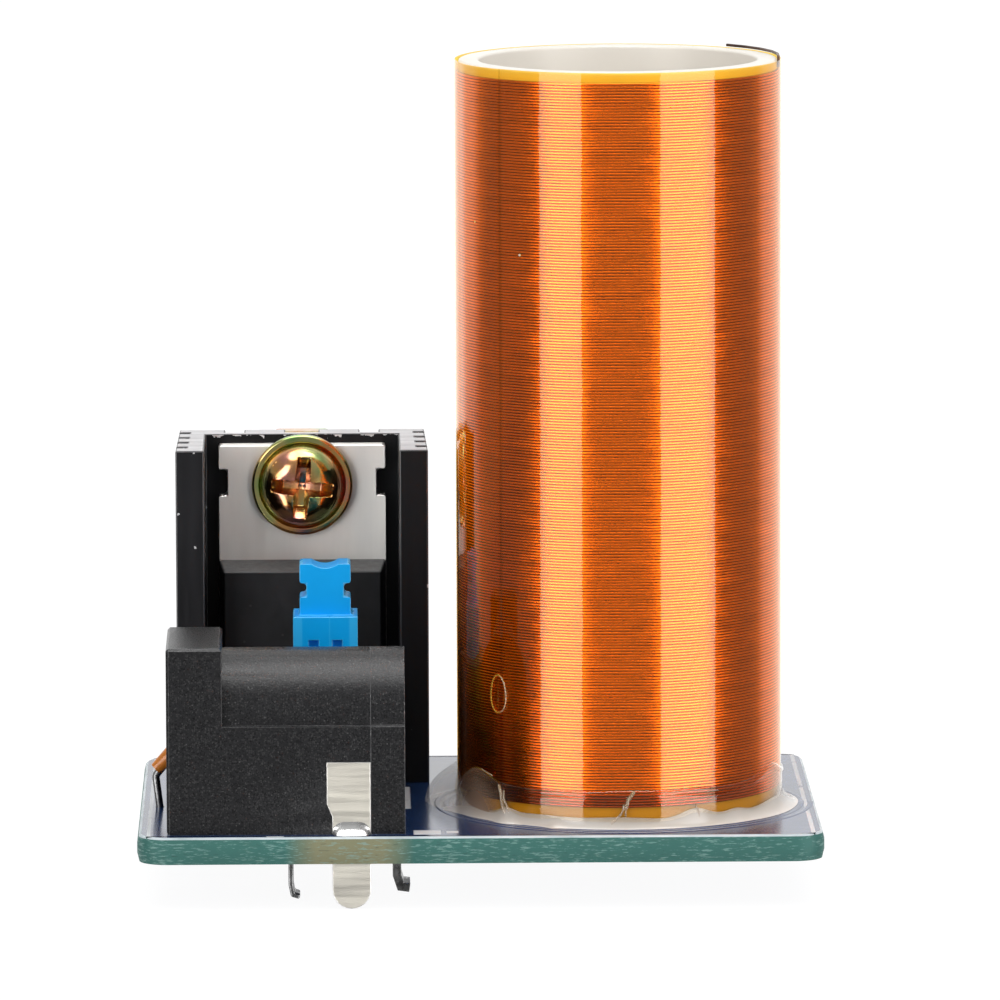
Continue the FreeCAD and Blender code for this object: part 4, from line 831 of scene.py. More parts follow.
class MakeStudio(bpy.types.Operator):
    """Makes the floor, the backdrop light, the lamps and the camera"""
    bl_idname = "transformer.make_studio"
    bl_label = "Studio"

    softboxes = (("left softbox", -43.0, 16.0), ("right softbox", 49.5, 21.5))

    def execute(self, context):
        studio = settings()[0]
        self.make_world(studio)
        self.make_floor()
        far, foot, head = 1.2, -0.40, 0.50
        for name, azimuth, half in self.softboxes:
            turn = radians(azimuth)
            place = Vector((far * sin(turn), -far * cos(turn), (foot + head) / 2))
            self.make_lamp(name, place, (2 * far * tan(radians(half)), head - foot), studio.box_radiance)
        self.make_lamp("overhead softbox", Vector((0.0, -0.45, 1.0)), (1.1, 1.0), studio.top_radiance)
        camera = linked("camera", bpy.data.cameras.new("camera"))
        camera.data.lens = studio.lens
        camera.data.sensor_width = 36.0
        camera.data.clip_start, camera.data.clip_end = 0.05, 20.0
        camera.matrix_world = (Matrix.Translation(Vector(studio.camera_place))
                               @ Matrix.Rotation(studio.camera_turn, 4, "Z")
                               @ Matrix.Rotation(pi / 2 - studio.camera_tilt, 4, "X")
                               @ Matrix.Rotation(studio.camera_roll, 4, "Z"))
        context.scene.camera = camera
        context.scene.view_settings.view_transform = "Standard"
        return {"FINISHED"}

    def make_lamp(self, name, place, size, radiance):
        """An area lamp aimed at the object; its power is radiance times pi times its area."""
        light = bpy.data.lights.new(name, "AREA")
        light.shape = "RECTANGLE"
        light.size, light.size_y = size
        light.energy = radiance * pi * size[0] * size[1]
        lamp = linked(name, light)
        lamp.location = place
        lamp.rotation_euler = (Vector((0, 0, 0.02)) - place).to_track_quat("-Z", "Y").to_euler()
        lamp.visible_glossy = False

    def make_world(self, studio):
        """White to the eye and through glass; to gloss white behind, dark in front with a softbox on each side,
        and paler high up and low down. A softbox covers azimuth +- half, counted from the front, and most heights."""
        world = bpy.data.worlds.new("studio")
        bpy.context.scene.world = world
        world.use_nodes = True
        tree = world.node_tree
        tree.nodes.clear()
        # x, y and z are the parts of the ray's direction, a unit vector
        x, y, z = axes_of(tree, add_node(tree, "ShaderNodeTexCoord").outputs["Generated"])
        steep = maths(tree, "ABSOLUTE", z)
        round_about = mapped(tree, y, -0.87, -0.50, studio.dark_front, studio.dark_side)
        dark = mapped(tree, steep, 0.25, 0.85, round_about, 0.60)
        upper = blended(tree, mapped(tree, z, 0.88, 0.93), dark, studio.overhead_gloss)
        far = mapped(tree, y, 0.60, 0.95, 1.0, studio.back_level)
        gloss = blended(tree, mapped(tree, y, 0.42, 0.56), upper, far)
        azimuth = maths(tree, "ARCTAN2", x, maths(tree, "MULTIPLY", y, -1.0))
        reach = mapped(tree, steep, 0.54, 0.66, 1.0, 0.0)
        for _, centre, half in self.softboxes:
            off = maths(tree, "ABSOLUTE", maths(tree, "SUBTRACT", azimuth, radians(centre)))
            inside = mapped(tree, off, radians(half - 0.5), radians(half), 1.0, 0.0)
            gloss = blended(tree, maths(tree, "MULTIPLY", inside, reach), gloss, studio.box_gloss)
        ray = add_node(tree, "ShaderNodeLightPath").outputs
        level = blended(tree, ray["Is Glossy Ray"], studio.ambient, gloss)
        seen = maths(tree, "MAXIMUM", ray["Is Camera Ray"], ray["Is Transmission Ray"])
        strength = blended(tree, seen, level, 1.0)
        light = add_node(tree, "ShaderNodeBackground", {"Color": (1, 1, 1, 1), "Strength": strength})
        add_node(tree, "ShaderNodeOutputWorld", {"Surface": light.outputs[0]})

    def make_floor(self):
        """A white plane under the pins that keeps the object's shadow; gloss and a view from below go through it."""
        level, side, front, back = cad_bounds[0].z, 1.5, -0.045, 2.2
        points = [(-side, front, level), (side, front, level), (side, back, level), (-side, back, level)]
        mesh = new_mesh("floor", points, [(0, 1, 2, 3)])
        material, tree = new_material("white floor")
        ray = add_node(tree, "ShaderNodeLightPath").outputs
        backfacing = add_node(tree, "ShaderNodeNewGeometry").outputs["Backfacing"]
        seen = maths(tree, "MAXIMUM", ray["Is Camera Ray"], ray["Is Transmission Ray"])
        share = maths(tree, "MULTIPLY", seen, 0.84)
        dull = add_node(tree, "ShaderNodeBsdfDiffuse", {"Color": (0.8, 0.8, 0.8, 1.0)})
        glow = add_node(tree, "ShaderNodeEmission", {"Color": (1, 1, 1, 1), "Strength": 1.12})
        lit = add_node(tree, "ShaderNodeMixShader", {0: share, 1: dull.outputs[0], 2: glow.outputs[0]})
        unseen = maths(tree, "MAXIMUM", backfacing, ray["Is Glossy Ray"])
        hole = add_node(tree, "ShaderNodeBsdfTransparent")
        both = add_node(tree, "ShaderNodeMixShader", {0: unseen, 1: lit.outputs[0], 2: hole.outputs[0]})
        mesh.materials.append(closed(material, both.outputs[0]))
        linked("floor", mesh)


class MakeCoil(bpy.types.Operator):
    """Makes the tube, the winding in four lengths, the film round it and the printed track at its foot"""
    bl_idname = "transformer.make_coil"
    bl_label = "Coil"

    pieces = 4
    columns = 120
    samples = 8

    def execute(self, context):
        coil = settings()[1]
        self.make_tube()
        self.make_winding(coil)
        self.make_film()
        paint("winding_top_tail", finish("tail"))
        paint("winding_base_lead", finish("wire"))
        self.make_track()
        return {"FINISHED"}

    def make_track(self):
        """The printed spiral under the lacquer: half turns about two centres half a pitch apart, each half a pitch
        wider than the last; across its width the height is 0.025 (1 - |2 s - 1| ^ 3)."""
        half, first, width, crown = 0.275, 9.55, 0.35, 0.025
        half_turns, cuts = 6, 72
        steps = np.arange(half_turns * cuts + 1)
        index = np.minimum(steps // cuts, half_turns - 1)
        turn = steps * pi / cuts
        s = np.linspace(0, 1, 9)
        radius = first + half * index[:, None] + width * s
        rise = crown * (1 - np.abs(2 * s - 1) ** 3)
        top = round_z(radius, turn[:, None], rise)
        top[..., 0] += np.where(index % 2 == 0, 0.0, half)[:, None]
        rows, columns = top.shape[:2]
        faces = grid_quads(rows, columns, wrap_columns=True).tolist()
        faces += [list(range(columns)), list(range((rows - 1) * columns, rows * columns))[::-1]]
        piece = merged("primary_track", top * MM, faces)
        finish_piece(piece, "base", [finish("track")], ("primary_spiral",), sharp=60)

    def make_tube(self):
        """A turned tube whose rim has quarter-circle corners: the stations run up the outside and down the bore."""
        top, outer = high("coil_former").z, high("coil_former").x
        bore = frame["record"]["mounts"][0]["dims"]["r_mm"] * MM
        lip = 0.16 * MM
        arc = np.linspace(0, pi / 2, 6)
        outside = np.stack([outer - lip + lip * np.cos(arc), top - lip + lip * np.sin(arc)], axis=1)
        inside = np.stack([bore + lip - lip * np.sin(arc), top - lip + lip * np.cos(arc)], axis=1)
        stations = np.concatenate([[[outer, 0.0]], outside, inside, [[bore, 0.0]]])
        points, faces = turned_surface(stations, (0, 0, 0), (0, 0, 1), 180, closed=True)
        new_piece("tube_wall", points, faces, "base", [finish("tube")], ("coil_former",), sharp=50)

    def make_winding(self, coil):
        """One helix of close turns, cut in four: across a turn the surface follows the wire's own circle, from
        valley to valley, so radius = base + a cos(f) and height = pitch (turn + angle / 2 pi) + a sin(f)."""
        corner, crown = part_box("secondary_winding")
        outer, inner = WIRE_OUTSIDE * MM, WIRE_INSIDE * MM
        pitch = (crown.z - corner.z) / (coil.turns + 1)
        reach = radians(74)
        wire = pitch / 2 / sin(reach)
        swing = np.linspace(-reach, reach, self.samples + 1)[:-1]
        out = outer - wire + wire * np.cos(swing)
        rise = wire * np.sin(swing) + pitch / 2
        # Painted shade for the valleys: nought over the wire's crown, rising to one toward each valley.
        dark = np.clip((np.abs(swing) / reach - 0.42) / 0.45, 0.0, 1.0)
        turn = circle(self.columns)
        for part, turns in enumerate(np.array_split(np.arange(coil.turns), self.pieces)):
            rows = len(turns) * self.samples + 1
            row = np.arange(rows)
            number, step = turns[0] + row // self.samples, row % self.samples
            lift = (number * pitch + rise[step])[:, None] + pitch * turn[None, :] / (2 * pi) + corner.z
            outside = round_z(out[step][:, None], turn, lift)
            foot, head = outside[0].copy(), outside[-1].copy()
            shrink = inner / np.hypot(foot[:, 0], foot[:, 1])[:, None]
            foot[:, :2] *= shrink
            head[:, :2] *= shrink
            # The seam at angle nought joins each row's last point to the point one turn, so eight rows, higher.
            # Above the last turn those points are new, as is the corner where the seam meets the winding's inside
            close = rows - self.samples + np.arange(self.samples)
            ending = np.stack([out[step[close]], np.zeros(self.samples), lift[close, 0] + pitch], axis=1)
            points = np.concatenate([outside.reshape(-1, 3), foot, head, ending, [[inner, 0, lift[-1, 0] + pitch]]])
            quads = grid_quads(rows, self.columns)
            r = np.arange(rows - 1 - self.samples)
            last = r * self.columns + self.columns - 1
            first = (r + self.samples) * self.columns
            seam = np.stack([last, first, first + self.columns, last + self.columns], axis=1)
            count = rows * self.columns
            bottom = np.arange(self.columns)
            top, low_ring = (rows - 1) * self.columns + bottom, count + bottom
            high_ring = low_ring + self.columns
            strips = [np.stack([one[:-1], one[1:], other[1:], other[:-1]], axis=1)
                      for one, other in ((low_ring, bottom), (top, high_ring), (high_ring, low_ring))]
            edge = np.concatenate([[top[0]], count + 2 * self.columns + np.arange(self.samples)])
            corner_point = len(points) - 1
            before = (rows - 1 - self.samples + np.arange(self.samples + 1)) * self.columns + self.columns - 1
            run_on = np.stack([before[:-1], edge[:-1], edge[1:], before[1:]], axis=1)
            faces = np.concatenate([quads, seam, *strips, run_on]).tolist()
            ends = [[*(np.arange(self.samples + 1) * self.columns), bottom[-1], low_ring[-1], low_ring[0]],
                    [*edge[::-1], high_ring[0], corner_point],
                    [top[-1], edge[-1], corner_point, high_ring[-1]],
                    [high_ring[-1], corner_point, high_ring[0], low_ring[0], low_ring[-1]]]
            name = "winding_length_%d" % (part + 1)
            piece = new_piece(name, points, faces + ends, "base", [finish("wire")],
                              ("secondary_winding",), sharp=60)
            # The painted valley shade is stored as the groove attribute; the inner rings and the last corner are
            # fully shaded.
            groove = piece.data.attributes.new("groove", "FLOAT", "POINT")
            depth = np.ones(len(points))
            depth[:count] = np.repeat(dark[step], self.columns)
            depth[count + 2 * self.columns:-1] = dark[step[close]]
            groove.data.foreach_set("value", depth)

    def make_film(self):
        """One turn of film and its lap as one closed sleeve: radius = shell + step along the lap + low ripples."""
        corner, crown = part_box("wrap_film")
        sides, rows = 360, 46
        turn = np.radians(np.linspace(-180, 180, sides, endpoint=False))
        height = np.linspace(corner.z, crown.z, rows)[:, None]
        lap_from, lap_to, lap = radians(FILM_SEAM - 28.0), radians(FILM_SEAM), 0.06 * MM
        lapped = np.clip((turn - lap_from) / radians(6), 0, 1) * (turn < lap_to)
        ripple = (0.5 * np.sin(3 * turn + 260 * height) + 0.3 * np.sin(7 * turn - 510 * height + 1.3)
                  + 0.2 * np.sin(13 * turn + 900 * height + 0.4)) * 0.004 * MM
        edge = np.clip(np.minimum(height - corner.z, crown.z - height) / (1.0 * MM), 0, 1)
        outer = FILM_OUTSIDE * MM + lap * lapped + ripple * edge
        points = np.concatenate([round_z(outer, turn, height), round_z(FILM_INSIDE * MM, turn, height[::-1])])
        faces = grid_quads(2 * rows, sides, wrap_rows=True, wrap_columns=True)
        new_piece("film_sleeve", points, faces, "base", [finish("film")], ("wrap_film",), sharp=40)


class MakeGlue(bpy.types.Operator):
    """Makes the hot glue round the coil's foot, its clear coat and strings, and a bubble in the film"""
    bl_idname = "transformer.make_glue"
    bl_label = "Glue"

    def execute(self, context):
        self.make_foot()
        self.make_glaze()
        self.make_threads()
        return {"FINISHED"}

    @staticmethod
    def ring(sides=300):
        """Angles round the coil, counted from +x."""
        return np.radians(np.linspace(-180, 180, sides, endpoint=False))

    @staticmethod
    def near(turn, centre, width):
        """exp(-(off / width) ^ 2), off being the angle from the centre in degrees."""
        off = np.degrees(np.angle(np.exp(1j * (turn - radians(centre)))))
        return np.exp(-(off / width) ** 2)

    def closed_ring(self, name, turn, radius, height, base, haze, finish_name):
        """Joins rings of points, foot first, with two rings beside the film's face into one closed band."""
        inner = [round_z((FILM_OUTSIDE + 0.015) * MM, turn, level) for level in (height[-1], base)]
        points = np.concatenate([round_z(radius, turn, height), inner])
        faces = grid_quads(len(points), len(turn), wrap_rows=True, wrap_columns=True)
        piece = new_piece(name, points, faces, "base", [finish(finish_name)], ("glue_bead",), sharp=70)
        cloud = piece.data.attributes.new("haze", "FLOAT", "POINT")
        cloud.data.foreach_set("value", np.concatenate([haze, haze[-1:], haze[-1:]]).ravel())

    def make_foot(self):
        """The milky fillet: height = h (1 - s) ^ p, where s runs from the film's face to the foot's edge. h, p and
        the reach change round the coil: low and narrow in front, wide at the right, a full mound behind the left
        side."""
        turn = self.ring()

        def near(centre, width):
            return self.near(turn, centre, width)

        mound = near(170, 26)
        crest = (0.60 + 1.75 * mound + 0.08 * np.sin(3 * turn + 0.8) + 0.04 * np.sin(11 * turn) + 0.25 * near(-12, 26)
                 + 0.5 * near(75, 45) + 0.30 * near(-135, 5) + 0.5 * near(-64, 7)
                 + 0.25 * near(-46, 6) - 0.25 * near(-160, 14)) * MM
        reach = (0.30 + 1.62 * mound + 0.65 * near(-5, 36) + 0.95 * near(75, 45) + 0.42 * near(-134, 4.5)
                 + 0.22 * near(-114, 2.6) + 0.2 * near(-48, 12) + 0.05 * np.sin(9 * turn))
        power = 1.7 - 1.2 * mound
        s = np.linspace(1, 0, 20)[:, None] ** 1.2
        radius = (FILM_OUTSIDE + 0.035 + reach * s) * MM
        height = crest * (1 - s) ** power + 0.015 * MM * s
        haze = (0.88 - 0.60 * near(178, 34) - 0.10 * near(-90, 40)) * (0.45 + 0.55 * s ** 0.7)
        self.closed_ring("glue_foot", turn, radius, height, 0.0, haze, "glue")

    def make_glaze(self):
        """The clear coat above it: a band 0.1 mm thick with a fuller lip. Its top edge stands 2.26 mm high with
        small waves and two humps, at the left front and at the right, and drops away at the left side."""
        turn = self.ring()
        crest = (2.26 + 0.05 * np.sin(4 * turn + 0.5) + 0.025 * np.sin(15 * turn) + 0.68 * self.near(turn, -151, 9)
                 + 0.75 * self.near(turn, -24, 12) - 1.5 * self.near(turn, 180, 12)) * MM
        s = np.linspace(0, 1, 20)[:, None]
        bend, base = 0.90, 0.03 * MM
        lip = np.sqrt(np.clip(1 - ((s - bend) / (1 - bend)) ** 2, 0, 1)) * (s > bend) + (s <= bend)
        swell = 0.05 + 0.07 * np.exp(-((s - bend) / 0.07) ** 2)
        radius = (FILM_OUTSIDE + 0.02 + swell * lip + 0.04 * (1 - s)) * MM
        height = base + (crest - base) * s
        haze = (0.55 * self.near(turn, -158, 14) * (1.1 - 0.75 * s) + 0.30 * self.near(turn, -146, 8) * (1 - s)
                + 0.30 * self.near(turn, -10, 9) * (1 - 0.5 * s))
        self.closed_ring("glue_glaze", turn, radius, height, base, np.clip(haze, 0, 1), "glaze")

    def make_threads(self):
        """Drips and strings of glue on the coat, and the rim of an air bubble in the film: thin tubes along lines
        of one radius, each given as its first angle and height, its last ones, and its radius at both, in degrees
        and millimetres. The tube's radius grows as thin + (thick - thin) t ^ 2 and closes at its ends."""
        strings, bubble = FILM_OUTSIDE + 0.075, FILM_OUTSIDE + 0.01
        lines = [(-138.4, 2.22, -134.4, 0.32, 0.10, 0.16), (-136.2, 1.9, -133.2, 0.45, 0.05, 0.09),
                 (-86.8, 2.30, -90.2, 1.10, 0.11, 0.07), (-89.6, 1.50, -94.4, 0.22, 0.06, 0.09),
                 (-88.6, 1.9, -89.2, 0.7, 0.035, 0.05), (-64.0, 1.3, -61.8, 0.30, 0.05, 0.13),
                 (-148.0, 2.95, -141.5, 2.62, 0.03, 0.045)]
        points, faces, count = [], [], 0
        t = np.linspace(0, 1, 24)
        for start, top, end, foot, thin, thick in lines:
            turn = np.radians(start + (end - start) * t ** 1.4 + 0.35 * np.sin(7 * t + start))
            path = round_z(strings, turn, top + (foot - top) * t) * MM
            reach = (thin + (thick - thin) * t ** 2) * np.sqrt(np.clip(np.minimum(t, 1 - t) * 14, 0.03, 1)) * MM
            skin, quads = swept_surface(path, reach, 10, (0, 0, 1) if abs(top - foot) < 0.5 else (0.3, 0.9, 0))
            points.append(skin.reshape(-1, 3))
            faces += [[corner + count for corner in quad] for quad in quads]
            count += len(points[-1])
        piece = merged("glue_threads", np.concatenate(points), faces)
        finish_piece(piece, "base", [finish("glue thread")], ("glue_bead",), sharp=60)
        loop = circle(72)
        turn = np.radians(-139.0 + 3.9 * np.cos(loop) * (1 - 0.1 * np.sin(loop)))
        path = round_z(bubble, turn, 7.55 + 1.12 * np.sin(loop)) * MM
        skin, quads = turned_ring(path, 0.045 * MM, 8)
        piece = merged("film_bubble", skin, quads)
        finish_piece(piece, "base", [finish("glue thread")], ("wrap_film",), sharp=60)


class MakeBoard(bpy.types.Operator):
    """Makes the printed board with its broken top edges and the print on its face"""
    bl_idname = "transformer.make_board"
    bl_label = "Board"

    def execute(self, context):
        dressed_copy("circuit_board", "board_panel", [finish("board"), finish("board edge")], bevel=0.13, segments=1,
                     weigh=self.outline, clamp=False)
        return {"FINISHED"}

    def outline(self, at, run):
        """One for the edges round the board's top face, none for the rest."""
        corner, crown = low("circuit_board") / MM, high("circuit_board") / MM
        from_side = np.minimum(at[:, 0] - corner.x, crown.x - at[:, 0])
        from_end = np.minimum(at[:, 1] - corner.y, crown.y - at[:, 1])
        near, far = np.minimum(from_side, from_end), np.maximum(from_side, from_end)
        rim, round_corner = near < 0.35, (near < 0.6) & (far < 1.6)
        return (rim | round_corner) * (np.abs(run[:, 2]) < 0.5) * (at[:, 2] > -0.1)


class MakeHeatsink(bpy.types.Operator):
    """Makes the finned heatsink with its transistor, screw and nut"""
    bl_idname = "transformer.make_heatsink"
    bl_label = "Heatsink and transistor"

    def execute(self, context):
        dressed_copy("heatsink", "heatsink_fins", [finish("anodised"), finish("heatsink edge wear and painted highlight")], bevel=0.09,
                     weigh=self.fins)
        dressed_copy("transistor_tab", "transistor_back", [finish("tab"), finish("tab edge")], bevel=0.24,
                     segments=3, weigh=lambda at, run: np.where(np.abs(run[:, 1]) > 0.9, 1.0, 0.25))
        dressed_copy("transistor_case", "transistor_block", [finish("case")], bevel=0.12)
        dressed_copy("transistor_leads", "transistor_legs", [finish("tin")], bevel=0.05)
        dressed_copy("heatsink_nut", "clamp_nut", [finish("zinc")], bevel=0.18)
        self.make_screw()
        return {"FINISHED"}

    def fins(self, at, run):
        """One for the edges of the top ends and the upright ones, less for the upright ones behind the transistor."""
        upright = np.abs(run[:, 2]) > 0.9
        # These rounded edges take the lighter edge finish: wear, and a painted highlight.
        worn = (at[:, 2] > high("heatsink").z / MM - 0.01) | upright
        return np.where(worn, 1.0, 0.0) * np.where(upright & (at[:, 1] > 8.6), 0.4, 1.0)

    @staticmethod
    def slot(along, across):
        """Depth of one arm of the cross recess: the least of its walls', its ends' and its floor's."""
        wall = (0.50 - 0.06 * np.abs(along) - np.abs(across)) * 4.5
        end = (1.86 - np.abs(along)) * 1.5
        return np.minimum(np.minimum(wall, end), 1.35 - 0.25 * np.abs(along))

    def make_screw(self):
        """A flanged pan head with a cross recess and its threaded shank, turned about y. Height of the head's face at
        distance r: the flange, a groove beside it, and a dome 0.46 + 1.84 (1 - (r / 2.5) ^ 3.2) ^ 0.5, less the
        deeper of the recess's two slots and some shallow dents."""
        corner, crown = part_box("heatsink_screw")
        rim, head, dome_rim, flange, groove = 3.05, 2.3, 2.50, 0.62, 0.16
        shank, thread_depth, thread_step = 1.45, 0.16, 0.25
        center = ((corner.x + crown.x) / 2 / MM, (corner.z + crown.z) / 2 / MM)
        sides = 256
        turn = circle(sides)
        out = np.concatenate([np.linspace(0.0, dome_rim - 0.06, 74), np.linspace(dome_rim - 0.03, rim - 0.16, 14)])
        out = out[:, None]
        valley = flange - groove
        dome = valley + (head - valley) * np.sqrt(np.clip(1 - (out / dome_rim) ** 3.2, 0, 1))
        lip = flange - groove * np.exp(-((out - dome_rim) / 0.09) ** 2)
        spin = radians(-5)
        x, z = out * np.cos(turn), out * np.sin(turn)
        u, v = x * np.cos(spin) + z * np.sin(spin), z * np.cos(spin) - x * np.sin(spin)
        recess = np.clip(np.maximum(self.slot(u, v), self.slot(v, u)), 0, None)
        dents = 0.05 * np.sin(3.1 * u + 1.0) * np.cos(2.7 * v - 0.5) * (recess <= 0) * (out < 2.2)
        face = np.where(out < dome_rim, np.maximum(dome, valley), lip) - recess + dents
        seat, tip = corner.y / MM + head, crown.y / MM
        cap = np.stack([x, seat - face, z], axis=-1)
        side = [(rim - 0.05, seat - flange + 0.05), (rim, seat - flange + 0.18), (rim, seat - 0.14),
                (rim - 0.12, seat), (shank, seat)]
        steps = np.arange(0.1, tip - seat - 0.05, thread_step)
        thread = [(shank - thread_depth * (k % 2), seat + at) for k, at in enumerate(steps)]
        stations = np.array(side + thread + [(1.2, tip), (0.0, tip)])
        rest = np.stack([stations[:, :1] * np.cos(turn), np.broadcast_to(stations[:, 1:], (len(stations), sides)),
                         stations[:, :1] * np.sin(turn)], axis=-1)
        rows = np.concatenate([cap, rest])
        points = (rows + np.array([center[0], 0, center[1]])) * MM
        piece = merged("clamp_screw", points, grid_quads(len(rows), sides, wrap_columns=True))
        finish_piece(piece, "base", [finish("zinc")], ("heatsink_screw",), sharp=46)


class MakeSocket(bpy.types.Operator):
    """Makes the barrel power socket with its terminals and contact"""
    bl_idname = "transformer.make_socket"
    bl_label = "Power socket"

    def execute(self, context):
        dressed_copy("jack_housing", "socket_housing", [finish("moulding"), finish("moulding edge wear and painted highlight")], bevel=0.07)
        dressed_copy("jack_rear_cap", "socket_rear", [finish("moulding"), finish("moulding edge wear and painted highlight")], bevel=0.07)
        dressed_copy("jack_center_pin", "socket_pin", [finish("tin")])
        dressed_copy("jack_pin_terminal", "socket_pin_tag", [finish("leg with painted dark reflection")], bevel=0.10, segments=3)
        dressed_copy("jack_sleeve_terminal", "socket_sleeve_tag", [finish("leg with painted dark reflection")], bevel=0.10, segments=3)
        dressed_copy("jack_side_terminal", "socket_side_tag", [finish("terminal"), finish("terminal edge with painted highlight")],
                     bevel=0.05)
        dressed_copy("jack_sleeve_spring", "socket_leaf", [finish("spring")], bevel=0.03)
        return {"FINISHED"}


class MakeSwitch(bpy.types.Operator):
    """Makes the latching push switch: base, cover, button, return spring, latch wire and contacts"""
    bl_idname = "transformer.make_switch"
    bl_label = "Push switch"

    def execute(self, context):
        dressed_copy("switch_base", "switch_lower", [finish("moulding")], bevel=0.08)
        dressed_copy("switch_cover", "switch_upper", [finish("moulding")], bevel=0.10)
        # The button's rounded edges take the painted edge highlight.
        dressed_copy("switch_button", "switch_plunger", [finish("button"), finish("button edge with painted highlight")], bevel=0.28,
                     segments=3, weigh=self.head)
        dressed_copy("switch_latch_wire", "switch_latch", [finish("spring")])
        dressed_copy("switch_sliders", "switch_bridges", [finish("tin")], bevel=0.03)
        dressed_copy("switch_pins", "switch_tags", [finish("leg with painted dark reflection")], bevel=0.04)
        self.make_spring()
        return {"FINISHED"}

    def head(self, at, run):
        """One for the button head's edges that run from front to back, little for the rest."""
        beside = np.abs(at[:, 1] - middle("switch_button").y / MM) < 0.4
        return np.where((np.abs(run[:, 1]) > 0.9) & (at[:, 2] > 10.5) & beside, 1.0, 0.24)

    def make_spring(self):
        """A close-ended helix: x = r cos t, y = r sin t, z climbing evenly, its first and last half turns flat."""
        corner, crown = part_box("switch_return_spring")
        wire, turns = 0.12 * MM, 8
        radius = (crown.x - corner.x) / 2 - wire
        center = ((corner.x + crown.x) / 2, (corner.y + crown.y) / 2)
        t = np.linspace(0, turns, turns * 24 + 1)
        lift = np.clip((t - 0.5) / (turns - 1.0), 0, 1)
        z = corner.z + wire + lift * (crown.z - corner.z - 2 * wire)
        path = round_z(radius, 2 * pi * t, z) + (*center, 0.0)
        piece = merged("switch_spring", *swept_surface(path, wire, 8, (0, 0, 1)))
        finish_piece(piece, "base", [finish("spring")], ("switch_return_spring",), sharp=50)
        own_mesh(piece)


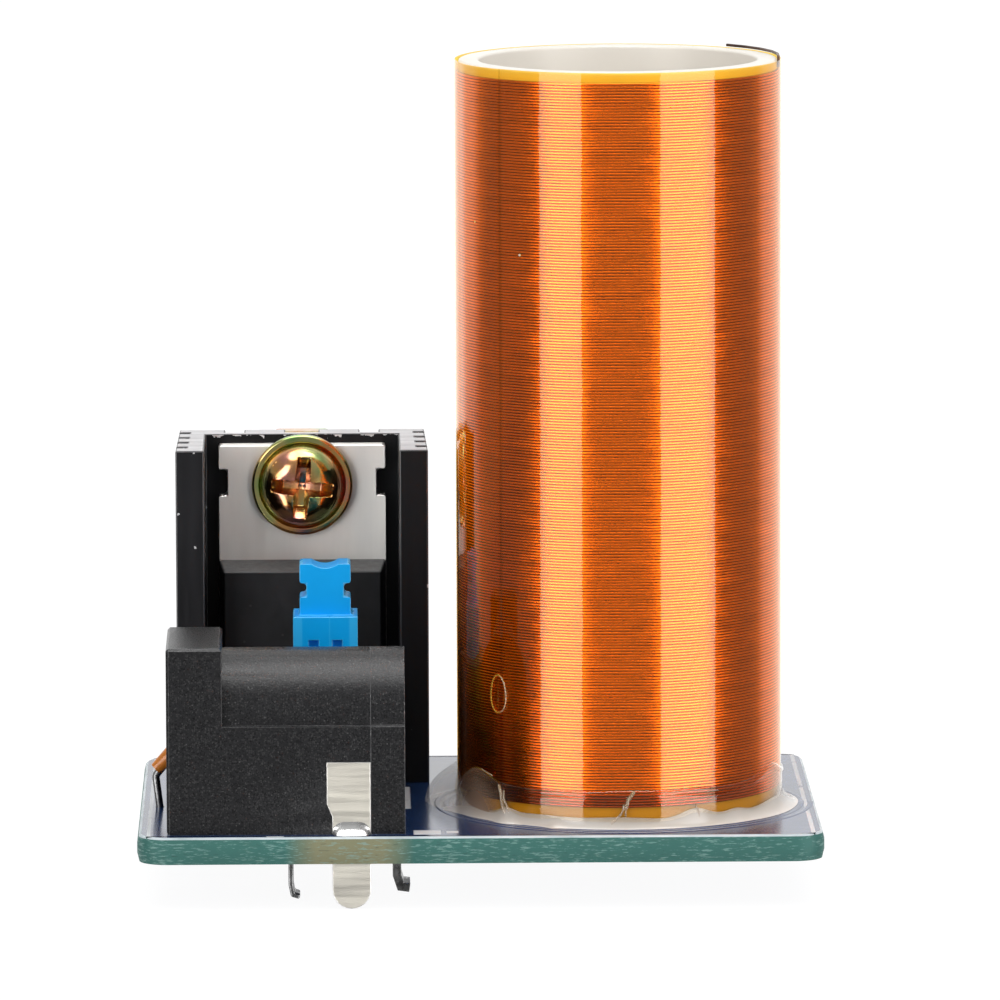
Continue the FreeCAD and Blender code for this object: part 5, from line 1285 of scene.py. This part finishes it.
class MakeSmallParts(bpy.types.Operator):
    """Makes the resistor, the diode, the capacitor, their legs and the solder joints"""
    bl_idname = "transformer.make_small_parts"
    bl_label = "Small parts"

    def execute(self, context):
        corner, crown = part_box("resistor_body")
        at, long = middle("resistor_body").x / MM, (crown.x - corner.x) / MM
        bands = [(at + share * long, 0.030 * long, tone) for share, tone in
                 ((-0.36, srgb(110, 52, 20)), (-0.16, srgb(20, 20, 20)), (0.02, srgb(200, 40, 30)),
                  (0.36, srgb(190, 150, 40)))]
        coat = banded_finish("resistor coat", srgb(205, 176, 128), bands, 0.28)
        dressed_copy("resistor_body", "resistor_coating", [coat])
        corner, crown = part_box("diode_body")
        at, long = middle("diode_body").x / MM, (crown.x - corner.x) / MM
        glass = banded_finish("diode glass", srgb(214, 98, 40), [(at - 0.34 * long, 0.07 * long, (0.01, 0.01, 0.01))],
                              0.05, transmission=0.5)
        dressed_copy("diode_body", "diode_capsule", [glass])
        dressed_copy("capacitor_body", "capacitor_disc", [finish("disc")], bevel=0.45, segments=5)
        for node, name in (("resistor_leads", "resistor_legs"), ("diode_leads", "diode_legs"),
                           ("capacitor_leads", "capacitor_legs")):
            dressed_copy(node, name, [finish("leg with painted dark reflection" if node == "capacitor_leads" else "tin")])
        self.make_solder()
        return {"FINISHED"}

    def make_solder(self):
        """Solder drawn up each leg. Under the board the half widths run from the foot's to the tip's as
        tip + (foot - tip) (1 - s) ^ 2.3, round the curve |x / a| ^ n + |y / b| ^ n = 1, n being 2 on round legs and
        4 on flat ones. On top, the fillet before the side tag has depth (1 - s) ^ 2 at height s, shrunk to nought
        at its ends as (1 - |2 u - 1| ^ 4) ^ 0.5."""
        points, faces, count = [], [], 0
        turn = circle(32)
        q = np.linspace(0, pi / 2, 5)
        s = np.linspace(0, 1, 12)
        for corners in lumps("solder_joints"):
            base, crown = corners.min(axis=0), corners.max(axis=0)
            if crown[2] > 0:
                u = np.linspace(0, 1, 21)
                swell = np.sqrt(1 - np.abs(2 * u - 1) ** 4)[:, None]
                depth, height = np.append((1 - s) ** 2, 0.0), np.append(s, 0.0)
                x = np.broadcast_to(base[0] + (crown[0] - base[0]) * u[:, None], (len(u), len(depth)))
                y, z = crown[1] - (crown[1] - base[1]) * swell * depth, crown[2] * swell * height
                lump = np.stack([x, y, z], axis=-1)
            else:
                under = corners[np.abs(corners[:, 2] - base[2]) < 1e-5]
                foot = (crown - base)[:2] / 2
                tip = (under.max(axis=0) - under.min(axis=0))[:2] / 2
                power = 2 if len(under) > 12 else 4
                ring = (np.abs(np.cos(turn)) ** power + np.abs(np.sin(turn)) ** power) ** (-1 / power)
                around = np.stack([np.cos(turn) * ring, np.sin(turn) * ring], axis=-1)
                round_off = 0.06 * MM
                deep = crown[2] - base[2]
                half = np.concatenate([np.zeros((1, 2)), tip + (foot - tip) * (1 - s[:, None]) ** 2.3,
                                       tip - round_off * (1 - np.cos(q))[:, None], np.zeros((1, 2))])
                down = np.concatenate([[0.0], s * (deep - round_off), deep - round_off * (1 - np.sin(q)), [deep]])
                flat = ((base + crown) / 2)[:2] + half[:, None, :] * around
                level = np.broadcast_to((crown[2] - down)[:, None, None], (*flat.shape[:2], 1))
                lump = np.concatenate([flat, level], axis=-1)
            points.append(lump.reshape(-1, 3))
            faces.append(grid_quads(*lump.shape[:2], wrap_columns=True) + count)
            count += len(points[-1])
        piece = merged("solder_cones", np.concatenate(points), np.concatenate(faces).tolist())
        finish_piece(piece, "base", [finish("solder")], ("solder_joints",), sharp=50)


# Sidebar and registration

OPERATORS = (MakeStudio, MakeCoil, MakeGlue, MakeBoard, MakeHeatsink, MakeSocket, MakeSwitch, MakeSmallParts)
GROUP_PROPERTIES = (("studio_settings", StudioSettings), ("coil_settings", CoilSettings),
                    ("board_settings", BoardSettings), ("part_settings", PartSettings))


class TransformerPanel(bpy.types.Panel):
    """Lists the sizes, the colours and the makers of the pieces"""
    bl_idname = "VIEW3D_PT_transformer"
    bl_label = "Transformer"
    bl_space_type = "VIEW_3D"
    bl_region_type = "UI"
    bl_category = "Transformer"

    def draw(self, context):
        for name, group in GROUP_PROPERTIES:
            box = self.layout.box()
            for label in group.__annotations__:
                box.prop(getattr(context.scene, name), label)
        for maker in OPERATORS:
            self.layout.operator(maker.bl_idname)


def register():
    for name, group in GROUP_PROPERTIES:
        bpy.utils.register_class(group)
        setattr(bpy.types.Scene, name, PointerProperty(type=group))
    for maker in OPERATORS:
        bpy.utils.register_class(maker)
    bpy.utils.register_class(TransformerPanel)


def unregister():
    bpy.utils.unregister_class(TransformerPanel)
    for maker in reversed(OPERATORS):
        bpy.utils.unregister_class(maker)
    for name, group in reversed(GROUP_PROPERTIES):
        delattr(bpy.types.Scene, name)
        bpy.utils.unregister_class(group)


def main():
    register()
    for maker in OPERATORS:
        family, name = maker.bl_idname.split(".")
        getattr(getattr(bpy.ops, family), name)()


if __name__ == "__main__":
    main()
